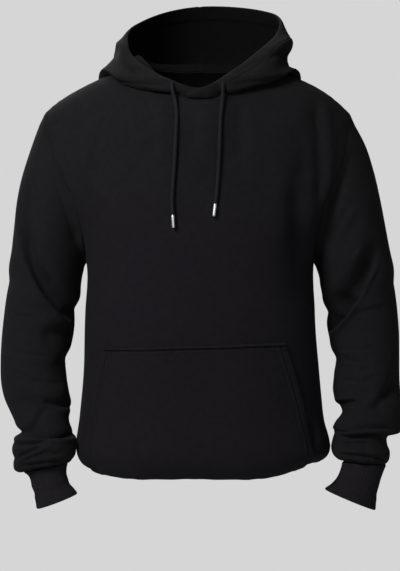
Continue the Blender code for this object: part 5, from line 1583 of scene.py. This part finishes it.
def make_cord(name, route, material):
    """A braided round cord from its eyelet to its tip; returns it with its route."""
    start = np.array(route[0])
    whole = [tuple(start + np.array(step)) for step in CORD_STUB] + list(route)
    end, direction = free_end(route)
    whole.append(tuple(end + direction * CORD_IN_TIP))
    line, gone = along_route(whole, CORD_ROW)
    turn = np.linspace(0, 2 * math.pi, CORD_ROUND, endpoint=False)[None, :]
    climb = 2 * math.pi * gone[:, None] / BRAID_LAY
    one = np.cos(BRAID_STRANDS * turn + climb)
    other = np.cos(BRAID_STRANDS * turn - climb)
    braid = np.maximum(one, other) ** 2 * np.where(one > other, 1.0, BRAID_OTHER)
    squeeze = eased((gone[-1] - gone) / CORD_SQUEEZE_OVER) * (1 - CORD_SQUEEZED) + CORD_SQUEEZED
    pinch = eased(gone / CORD_PINCH_OVER) * (1 - CORD_PINCHED) + CORD_PINCHED
    radii = CORD_RADIUS * (1 - BRAID_RELIEF + BRAID_RELIEF * braid) * (squeeze * pinch)[:, None]
    cord = tube(name + "_braid", line, radii, material)
    return cord, whole, float(gone[-1])


def make_tip(name, route, material):
    """The turned metal tip on a cord's free end."""
    end, direction = free_end(route)
    places = end + direction * (SEAM_GAP + column(TIP_PROFILE, "place")[:, None] * TIP_LENGTH)
    radii = np.repeat(column(TIP_PROFILE, "radius")[:, None] * TIP_RADIUS, TIP_ROUND, axis=1)
    return tube(name + "_metal", places, radii, material)


def make_eyelet(name, centre, normal, material):
    """A buttonhole-stitched eyelet: radial stitches round the hole that the cord leaves by."""
    normal = unit(np.array(normal))
    side = unit(np.cross(normal, (0.0, 0.0, 1.0)))
    up = np.cross(side, normal)
    turn = np.linspace(0, 2 * math.pi, EYELET_STITCHES * EYELET_POINTS, endpoint=False)
    thread = 0.5 + 0.5 * np.cos(EYELET_STITCHES * turn)
    spokes = side * np.cos(turn)[:, None] + up * np.sin(turn)[:, None]
    rings = []
    for share in np.linspace(0, 2 * math.pi, EYELET_SECTION, endpoint=False):
        out = EYELET_RADIUS + EYELET_WIDTH * math.cos(share)
        rise = EYELET_HEIGHT * math.sin(share) * (1 - EYELET_RIBBED + EYELET_RIBBED * thread)
        rings.append(centre + spokes * out + normal * rise[:, None])
    grid = np.array(rings)
    rows, columns = grid.shape[:2]
    wide, high = EYELET_RADIUS * 2 * math.pi / columns, EYELET_WIDTH / rows
    faces, places = [], []
    for r in range(rows):
        for c in range(columns):
            corners = ((r, c), (r + 1, c), (r + 1, c + 1), (r, c + 1))
            faces.append([(a % rows) * columns + b % columns for a, b in corners])
            places += [(b * wide, a * high) for a, b in corners]
    return closed_mesh(name, grid.reshape(-1, 3), faces, places, (material,))


def eyelet_place(cord, hood, sign):
    """Where a drawcord leaves the hood: the nearest point of its face, and the way out there."""
    hole = (np.array(cord[0]) + np.array(cord[1])) / 2
    away = np.linalg.norm(hood - hole, axis=2)
    r, c = np.unravel_index(np.argmin(away), away.shape)
    return hood[r, c], hood_outward(hood, sign)[r, c]


# ------------------------------------------------------------------ stitches
def ring_beside(sleeve, edge):
    """The topstitch beside a sleeve's end, closed to a ring."""
    ring = line_beside(sleeve, edge, TOPSTITCH_AWAY)
    return np.concatenate([ring, ring[:1]])


def armhole_lines(front, back, *sleeves):
    """Topstitch on both sides of each armhole seam."""
    lines = []
    for grid in (front, back):
        for edge in ("first_column", "last_column"):
            line = line_beside(grid[: ARMHOLE_ROWS + 1], edge, TOPSTITCH_AWAY)
            lines.append(line[STITCH_SKIP:])
    return lines + [ring_beside(grid, "first_row") for grid in sleeves]


def hood_lines(*halves):
    """The rows of stitches along the rim's channel and beside the crown seam."""
    lines = []
    for grid in halves:
        lines.append(line_beside(grid, "last_row", CHANNEL_DEEP)[HOOD_STITCH_SKIP:])
        lines.append(line_beside(grid, "last_column", TOPSTITCH_AWAY)[STITCH_SKIP:])
    return lines


def pocket_lines(pocket):
    """The rows of stitches along the pocket's hems."""
    lines = [line_beside(pocket, "first_row", POCKET_STITCH_TOP)]
    for edge in ("first_column", "last_column"):
        lines += [line_beside(pocket, edge, away) for away in POCKET_STITCHES_SIDE]
    return lines


def hem_lines(front, back):
    """Topstitch above the hem seam and below the neckline and shoulder seams."""
    lines = []
    for grid in (front, back):
        lines.append(line_beside(grid, "last_row", TOPSTITCH_AWAY))
        lines.append(line_beside(grid, "first_row", TOPSTITCH_AWAY)[STITCH_SKIP:-STITCH_SKIP])
    return lines


def cuff_lines(*sleeves):
    """Topstitch above each cuff seam."""
    return [ring_beside(grid, "last_row") for grid in sleeves]


def stitch_tree():
    """Geometry nodes that lay stitches of thread along the edges of a line mesh."""
    tree = bpy.data.node_groups.new("stitch_rows", "GeometryNodeTree")
    face = tree.interface
    face.new_socket("Geometry", in_out="INPUT", socket_type="NodeSocketGeometry")
    face.new_socket("Geometry", in_out="OUTPUT", socket_type="NodeSocketGeometry")
    for name in ("Pitch", "Length", "Thread"):
        face.new_socket(name, in_out="INPUT", socket_type="NodeSocketFloat")
    face.new_socket("Material", in_out="INPUT", socket_type="NodeSocketMaterial")
    given = tree.nodes.new("NodeGroupInput")
    result = tree.nodes.new("NodeGroupOutput")
    curve = tree.nodes.new("GeometryNodeMeshToCurve")
    spaced = tree.nodes.new("GeometryNodeResampleCurve")
    spaced.mode = "LENGTH"
    bead = tree.nodes.new("GeometryNodeMeshUVSphere")
    bead.inputs["Segments"].default_value = STITCH_SEGMENTS
    bead.inputs["Rings"].default_value = STITCH_RINGS
    bead.inputs["Radius"].default_value = 1.0
    turned = tree.nodes.new("GeometryNodeTransform")
    turned.inputs["Rotation"].default_value = (0.0, math.pi / 2, 0.0)
    tangent = tree.nodes.new("GeometryNodeInputTangent")
    aligned = tree.nodes.new("FunctionNodeAlignRotationToVector")
    aligned.axis = "X"
    size = tree.nodes.new("ShaderNodeCombineXYZ")
    half = tree.nodes.new("ShaderNodeMath")
    half.operation = "MULTIPLY"
    half.inputs[1].default_value = 0.5
    placed = tree.nodes.new("GeometryNodeInstanceOnPoints")
    real = tree.nodes.new("GeometryNodeRealizeInstances")
    smooth = tree.nodes.new("GeometryNodeSetShadeSmooth")
    finish = tree.nodes.new("GeometryNodeSetMaterial")
    link(tree, given.outputs["Geometry"], curve.inputs["Mesh"])
    link(tree, curve.outputs["Curve"], spaced.inputs["Curve"])
    link(tree, given.outputs["Pitch"], spaced.inputs["Length"])
    link(tree, spaced.outputs["Curve"], placed.inputs["Points"])
    link(tree, bead.outputs["Mesh"], turned.inputs["Geometry"])
    link(tree, turned.outputs["Geometry"], placed.inputs["Instance"])
    link(tree, tangent.outputs["Tangent"], aligned.inputs["Vector"])
    link(tree, aligned.outputs["Rotation"], placed.inputs["Rotation"])
    link(tree, given.outputs["Length"], half.inputs[0])
    link(tree, half.outputs[0], size.inputs["X"])
    link(tree, given.outputs["Thread"], size.inputs["Y"])
    link(tree, given.outputs["Thread"], size.inputs["Z"])
    link(tree, size.outputs["Vector"], placed.inputs["Scale"])
    link(tree, placed.outputs["Instances"], real.inputs["Geometry"])
    link(tree, real.outputs["Geometry"], smooth.inputs["Geometry"])
    link(tree, smooth.outputs["Geometry"], finish.inputs["Geometry"])
    link(tree, given.outputs["Material"], finish.inputs["Material"])
    link(tree, finish.outputs["Geometry"], result.inputs["Geometry"])
    return tree


def make_stitches(name, lines, tree, material):
    """Rows of stitches along lines of points, as one plain mesh."""
    points, edges = [], []
    for line in lines:
        first = len(points)
        points += [tuple(point) for point in uneven(line, name)]
        edges += [(first + k, first + k + 1) for k in range(len(line) - 1)]
    mesh = bpy.data.meshes.new(name + "_lines")
    mesh.from_pydata(points, edges, [])
    guide = added(name + "_lines", mesh)
    rows = guide.modifiers.new("stitches", "NODES")
    rows.node_group = tree
    given = {"Pitch": STITCH_PITCH, "Length": STITCH_LENGTH, "Thread": STITCH_THREAD}
    given["Material"] = material
    for socket in tree.interface.items_tree:
        if socket.in_out == "INPUT" and socket.name in given:
            rows[socket.identifier] = given[socket.name]
    bpy.context.view_layer.update()
    evaluated = guide.evaluated_get(bpy.context.evaluated_depsgraph_get())
    sewn = bpy.data.meshes.new_from_object(evaluated)
    sewn.name = name
    made = added(name, sewn)
    guide.modifiers.clear()
    bpy.data.objects.remove(guide, do_unlink=True)
    return made


# ------------------------------------------------------------------ materials
def feed(tree, socket, value):
    """Sets a node's input to a number or colour, or links another node's output to it."""
    if isinstance(value, bpy.types.NodeSocket):
        tree.links.new(value, socket)
    else:
        socket.default_value = value


def maths(tree, operation, *values):
    """The result of a math node."""
    node = tree.nodes.new("ShaderNodeMath")
    node.operation = operation
    for socket, value in zip(node.inputs, values):
        feed(tree, socket, value)
    return node.outputs[0]


def shader_group(name, inputs, outputs):
    """An empty shader node group with named inputs and outputs."""
    tree = bpy.data.node_groups.new(name, "ShaderNodeTree")
    kinds = {"vector": "NodeSocketVector", "number": "NodeSocketFloat"}
    for title, kind in inputs:
        tree.interface.new_socket(title, in_out="INPUT", socket_type=kinds[kind])
    for title, kind in outputs:
        tree.interface.new_socket(title, in_out="OUTPUT", socket_type=kinds[kind])
    return tree, tree.nodes.new("NodeGroupInput"), tree.nodes.new("NodeGroupOutput")


def knit_group():
    """Columns of V-shaped knit stitches: their height, from 0 to 1."""
    tree, given, result = shader_group(
        "knit_stitches",
        (("Place", "vector"), ("Wale", "number"), ("Course", "number")),
        (("Height", "number"),),
    )
    split = tree.nodes.new("ShaderNodeSeparateXYZ")
    link(tree, given.outputs["Place"], split.inputs[0])
    wale = maths(tree, "FRACT", maths(tree, "DIVIDE", split.outputs["X"], given.outputs["Wale"]))
    off = maths(tree, "ABSOLUTE", maths(tree, "SUBTRACT", wale, 0.5))
    course = maths(tree, "DIVIDE", split.outputs["Y"], given.outputs["Course"])
    turn = maths(tree, "MULTIPLY_ADD", off, KNIT_SLANT, course)
    turn = maths(tree, "MULTIPLY", turn, 2 * math.pi)
    leg = maths(tree, "MULTIPLY_ADD", maths(tree, "COSINE", turn), 0.5, 0.5)
    gap = maths(tree, "POWER", maths(tree, "MULTIPLY", off, 2.0), KNIT_GROOVE)
    body = maths(tree, "SUBTRACT", 1.0, gap)
    feed(tree, result.inputs["Height"], maths(tree, "MULTIPLY", leg, body))
    return tree


def nap_group():
    """Brushed nap: slow patches and short fuzz, each from 0 to 1."""
    tree, given, result = shader_group(
        "brushed_nap",
        (("Place", "vector"), ("Patch", "number"), ("Fuzz", "number")),
        (("Patches", "number"), ("Fuzz", "number")),
    )
    kinds = (("Patch", NAP_PATCH_DETAIL, "Patches"), ("Fuzz", NAP_FUZZ_DETAIL, "Fuzz"))
    for size, detail, name in kinds:
        cloud = tree.nodes.new("ShaderNodeTexNoise")
        cloud.inputs["Detail"].default_value = detail
        link(tree, given.outputs["Place"], cloud.inputs["Vector"])
        feed(tree, cloud.inputs["Scale"], maths(tree, "DIVIDE", 1.0, given.outputs[size]))
        link(tree, cloud.outputs["Fac"], result.inputs[name])
    return tree


def placed_group(tree, group, **values):
    """One use of a node group in a material, with its own values."""
    node = tree.nodes.new("ShaderNodeGroup")
    node.node_tree = group
    for name, value in values.items():
        feed(tree, node.inputs[name], value)
    return node


def ranged(tree, value, low, high):
    """A value from 0 to 1 turned into one between low and high."""
    return maths(tree, "MULTIPLY_ADD", value, high - low, low)


def colour_mix(tree, factor, one, other):
    """A colour between two others."""
    node = tree.nodes.new("ShaderNodeMix")
    node.data_type = "RGBA"
    node.clamp_factor = True
    link(tree, factor, node.inputs["Factor"])
    for socket, colour in ((node.inputs["A"], one), (node.inputs["B"], other)):
        feed(tree, socket, colour if isinstance(colour, bpy.types.NodeSocket) else (*colour, 1.0))
    return node.outputs["Result"]


def new_material(name):
    """A material with its node tree and its shader."""
    made = bpy.data.materials.new(name)
    made.use_nodes = True
    return made, made.node_tree, made.node_tree.nodes["Principled BSDF"]


def bumped(tree, shader, height, distance):
    """Gives a shader the bumps of a height."""
    bump = tree.nodes.new("ShaderNodeBump")
    bump.inputs["Strength"].default_value = 1.0
    bump.inputs["Distance"].default_value = distance
    link(tree, height, bump.inputs["Height"])
    link(tree, bump.outputs["Normal"], shader.inputs["Normal"])


def cloth_material(name, dye, groups, knitted, sheen):
    """Matt cloth: knit stitches with painted shade in their grooves, and nap, on a dark dyed
    ground, with a soft sheen.

    The shade runs above 1: it mixes black with the dye times the room it has.
    """
    wale, course, knit_depth = knitted
    made, tree, shader = new_material(name)
    flat = tree.nodes.new("ShaderNodeUVMap")
    flat.uv_map = "cloth"
    place = tree.nodes.new("ShaderNodeTexCoord").outputs["Object"]
    knit = placed_group(tree, groups["knit"], Place=flat.outputs["UV"], Wale=wale, Course=course)
    nap = placed_group(tree, groups["nap"], Place=place, Patch=NAP_PATCH, Fuzz=NAP_FUZZ)
    patches = ranged(tree, nap.outputs["Patches"], *NAP_PATCH_SHADES)
    fuzz = ranged(tree, nap.outputs["Fuzz"], *NAP_FUZZ_SHADES)
    # Painted shade: the lower the knit lies, the darker its colour.
    stitches = ranged(tree, knit.outputs["Height"], *KNIT_GROOVE_PAINTED_SHADES)
    shade = maths(tree, "MULTIPLY", maths(tree, "MULTIPLY", patches, fuzz), stitches)
    height = tree.nodes.new("ShaderNodeSeparateXYZ")
    link(tree, place, height.inputs[0])
    below = maths(tree, "SUBTRACT", DYE_FROM, height.outputs["Z"])
    lower = maths(tree, "DIVIDE", below, DYE_FROM - DYE_TO)
    dyed = colour_mix(tree, lower, *([SHADE_ROOM * part for part in end] for end in dye))
    shade = maths(tree, "MULTIPLY", shade, 1 / SHADE_ROOM)
    tint = colour_mix(tree, shade, (0.0, 0.0, 0.0), dyed)
    link(tree, tint, shader.inputs["Base Color"])
    rough = ranged(tree, nap.outputs["Fuzz"], *CLOTH_ROUGHNESS)
    link(tree, rough, shader.inputs["Roughness"])
    raised = maths(tree, "MULTIPLY", nap.outputs["Fuzz"], NAP_FUZZ_DEPTH)
    raised = maths(tree, "MULTIPLY_ADD", knit.outputs["Height"], knit_depth, raised)
    bumped(tree, shader, raised, 1.0)
    shader.inputs["Specular IOR Level"].default_value = CLOTH_SPECULAR
    shader.inputs["Sheen Weight"].default_value = sheen
    shader.inputs["Sheen Roughness"].default_value = SHEEN_ROUGHNESS
    shader.inputs["Sheen Tint"].default_value = (*SHEEN_TINT, 1.0)
    return made


def metal_material(name, groups):
    """Bright plated metal with faint turning marks and dulled patches."""
    made, tree, shader = new_material(name)
    place = tree.nodes.new("ShaderNodeTexCoord").outputs["Object"]
    nap = placed_group(tree, groups["nap"], Place=place, Patch=METAL_PATCH, Fuzz=METAL_SCRATCH)
    shader.inputs["Base Color"].default_value = (*METAL_COLOUR, 1.0)
    shader.inputs["Metallic"].default_value = 1.0
    dulled = ranged(tree, nap.outputs["Patches"], *METAL_ROUGHNESS)
    scratched = ranged(tree, nap.outputs["Fuzz"], *METAL_SCRATCH_ROUGHNESS)
    link(tree, maths(tree, "ADD", dulled, scratched), shader.inputs["Roughness"])
    bumped(tree, shader, nap.outputs["Fuzz"], METAL_SCRATCH_DEPTH)
    return made


def floor_material():
    """The pale studio floor."""
    made, tree, shader = new_material("studio_floor")
    cloud = tree.nodes.new("ShaderNodeTexNoise")
    cloud.inputs["Scale"].default_value = FLOOR_CLOUDS
    place = tree.nodes.new("ShaderNodeTexCoord").outputs["Object"]
    link(tree, place, cloud.inputs["Vector"])
    rough = ranged(tree, cloud.outputs["Fac"], *FLOOR_ROUGHNESS)
    link(tree, rough, shader.inputs["Roughness"])
    shader.inputs["Base Color"].default_value = (*FLOOR_COLOUR, 1.0)
    return made


# ------------------------------------------------------------------ studio
def make_camera():
    """The camera, level with the garment's middle and straight in front of it."""
    camera = added("camera", bpy.data.cameras.new("camera"))
    camera.data.sensor_fit = "VERTICAL"
    camera.data.sensor_height = SENSOR
    camera.data.lens = SENSOR * CAMERA_AWAY / VIEW_HEIGHT
    camera.location = (0.0, -CAMERA_AWAY, CAMERA_HEIGHT)
    camera.rotation_euler = (math.pi / 2, 0.0, 0.0)
    bpy.context.scene.camera = camera


def soft_light(name, place, size, power, colour):
    """A square studio light aimed at the garment's middle."""
    lamp = bpy.data.lights.new(name, "AREA")
    lamp.size = size
    lamp.energy = power
    lamp.color = colour
    made = added(name, lamp)
    made.location = place
    aim = Vector((0.0, 0.0, CAMERA_HEIGHT)) - Vector(place)
    made.rotation_euler = aim.to_track_quat("-Z", "Y").to_euler()


def make_world():
    """A plain pale backdrop, which lights the cloth only softly."""
    world = bpy.data.worlds.new("studio")
    world.use_nodes = True
    tree = world.node_tree
    tree.nodes.clear()
    seen = tree.nodes.new("ShaderNodeLightPath").outputs["Is Camera Ray"]
    backdrop = tree.nodes.new("ShaderNodeBackground")
    backdrop.inputs["Color"].default_value = (*BACKDROP, 1.0)
    glow = tree.nodes.new("ShaderNodeBackground")
    glow.inputs["Color"].default_value = (*GLOW, 1.0)
    mixed = tree.nodes.new("ShaderNodeMixShader")
    result = tree.nodes.new("ShaderNodeOutputWorld")
    link(tree, seen, mixed.inputs["Fac"])
    link(tree, glow.outputs[0], mixed.inputs[1])
    link(tree, backdrop.outputs[0], mixed.inputs[2])
    link(tree, mixed.outputs[0], result.inputs["Surface"])
    bpy.context.scene.world = world


def make_floor():
    """A plain floor far below the garment."""
    mesh = bpy.data.meshes.new("floor")
    turns = ((-1, -1), (1, -1), (1, 1), (-1, 1))
    corners = [(x * FLOOR_HALF, y * FLOOR_HALF, FLOOR_Z) for x, y in turns]
    mesh.from_pydata(corners, [], [(0, 1, 2, 3)])
    mesh.materials.append(floor_material())
    added("floor", mesh)


def finished(piece, slot, *nodes):
    """Fastens a finished piece to the frame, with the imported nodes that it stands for."""
    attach(piece, "root")
    if nodes:
        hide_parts(*nodes)


# ------------------------------------------------------------------ the scene
def hang_cords(cord_material, tip_material):
    """Makes both drawcords with their tips; returns their routes."""
    routes = {}
    for side, route in (("left", CORD_LEFT_ROUTE), ("right", CORD_RIGHT_ROUTE)):
        cord, whole, length = make_cord("drawcord_" + side, route, cord_material)
        tip = make_tip("cord_tip_" + side, route, tip_material)
        finished(cord, "black_cord", "drawcord_" + side)
        finished(tip, "silver_tip", "cord_tip_" + side)
        routes[side] = whole
    return routes


def finish_sheet(node, piece):
    """Fastens a piece of cloth and hides the imported node that it stands for."""
    slot = "black_rib_knit" if node.startswith(("cuff", "hem")) else "black_fleece"
    finished(piece, slot, node)


def main():
    """Builds the whole scene."""
    make_camera()
    make_world()
    for light in LIGHTS:
        soft_light(*light)
    make_floor()
    bpy.context.scene.view_settings.view_transform = "Standard"
    groups = {"knit": knit_group(), "nap": nap_group()}
    fleece = cloth_material("fleece_face", BODY_DYE, groups, FLEECE_KNIT, BODY_SHEEN)
    cool = cloth_material("fleece_face_sleeve", SLEEVE_DYE, groups, FLEECE_KNIT, SLEEVE_SHEEN)
    # Painted shade: the insides take a much darker copy of the fleece.
    shaded_inside = cloth_material("fleece_inside_painted_shade", INSIDE_PAINTED_SHADE_DYE, groups, INSIDE_KNIT, 0.0)
    rib = cloth_material("rib_knit", RIB_DYE, groups, RIB_KNIT, BODY_SHEEN)
    braid = cloth_material("cord_braid", CORD_DYE, groups, CORD_KNIT, BODY_SHEEN)
    thread = cloth_material("sewing_thread", THREAD_DYE, groups, THREAD_KNIT, BODY_SHEEN)
    metal = metal_material("silver_tip_metal", groups)
    routes = hang_cords(braid, metal)

    sheets, faces = {}, {}
    sheets["front"], faces["front"], smooth, ways = make_panel("front", -1, (fleece, shaded_inside))
    sheets["back"], faces["back"], _, _ = make_panel("back", 1, (fleece, shaded_inside))
    tables = {"sleeve_left": SLEEVE_LEFT, "sleeve_right": SLEEVE_RIGHT}
    tables.update({"cuff_left": CUFF_LEFT, "cuff_right": CUFF_RIGHT})
    for side, sign in SIDES:
        name = "sleeve_" + side
        sheets[name], faces[name] = make_sleeve(name, tables[name], sign, (cool, shaded_inside))
    for side, sign in SIDES:
        name = "cuff_" + side
        sheets[name], faces[name] = make_cuff(name, tables[name], sign, rib)
    sheets["hem_band"] = make_hem_band(rib)
    for side, sign in SIDES:
        name = "hood_" + side
        sheets[name], faces[name] = make_hood_half(name, sign, (cool, shaded_inside))
    sheets["pocket"], faces["pocket"] = make_pocket(smooth, ways, (fleece, shaded_inside))

    for side, sign in SIDES:
        centre, normal = eyelet_place(routes[side], faces["hood_" + side], sign)
        finished(make_eyelet("eyelet_" + side, centre, normal, thread), "black_cord")

    panels = [faces[name] for name in ("front", "back")]
    sleeves = [faces["sleeve_" + side] for side, _ in SIDES]
    hoods = [faces["hood_" + side] for side, _ in SIDES]
    sewing = {
        "armhole_stitches": armhole_lines(*panels, *sleeves),
        "hood_stitches": hood_lines(*hoods),
        "pocket_stitches": pocket_lines(faces["pocket"]),
        "hem_stitches": hem_lines(*panels),
        "cuff_stitches": cuff_lines(*sleeves),
    }
    tree = stitch_tree()
    for name, lines in sewing.items():
        finished(make_stitches(name, lines, tree, thread), "black_fleece")
    for node, piece in sheets.items():
        finish_sheet(node, piece)


main()
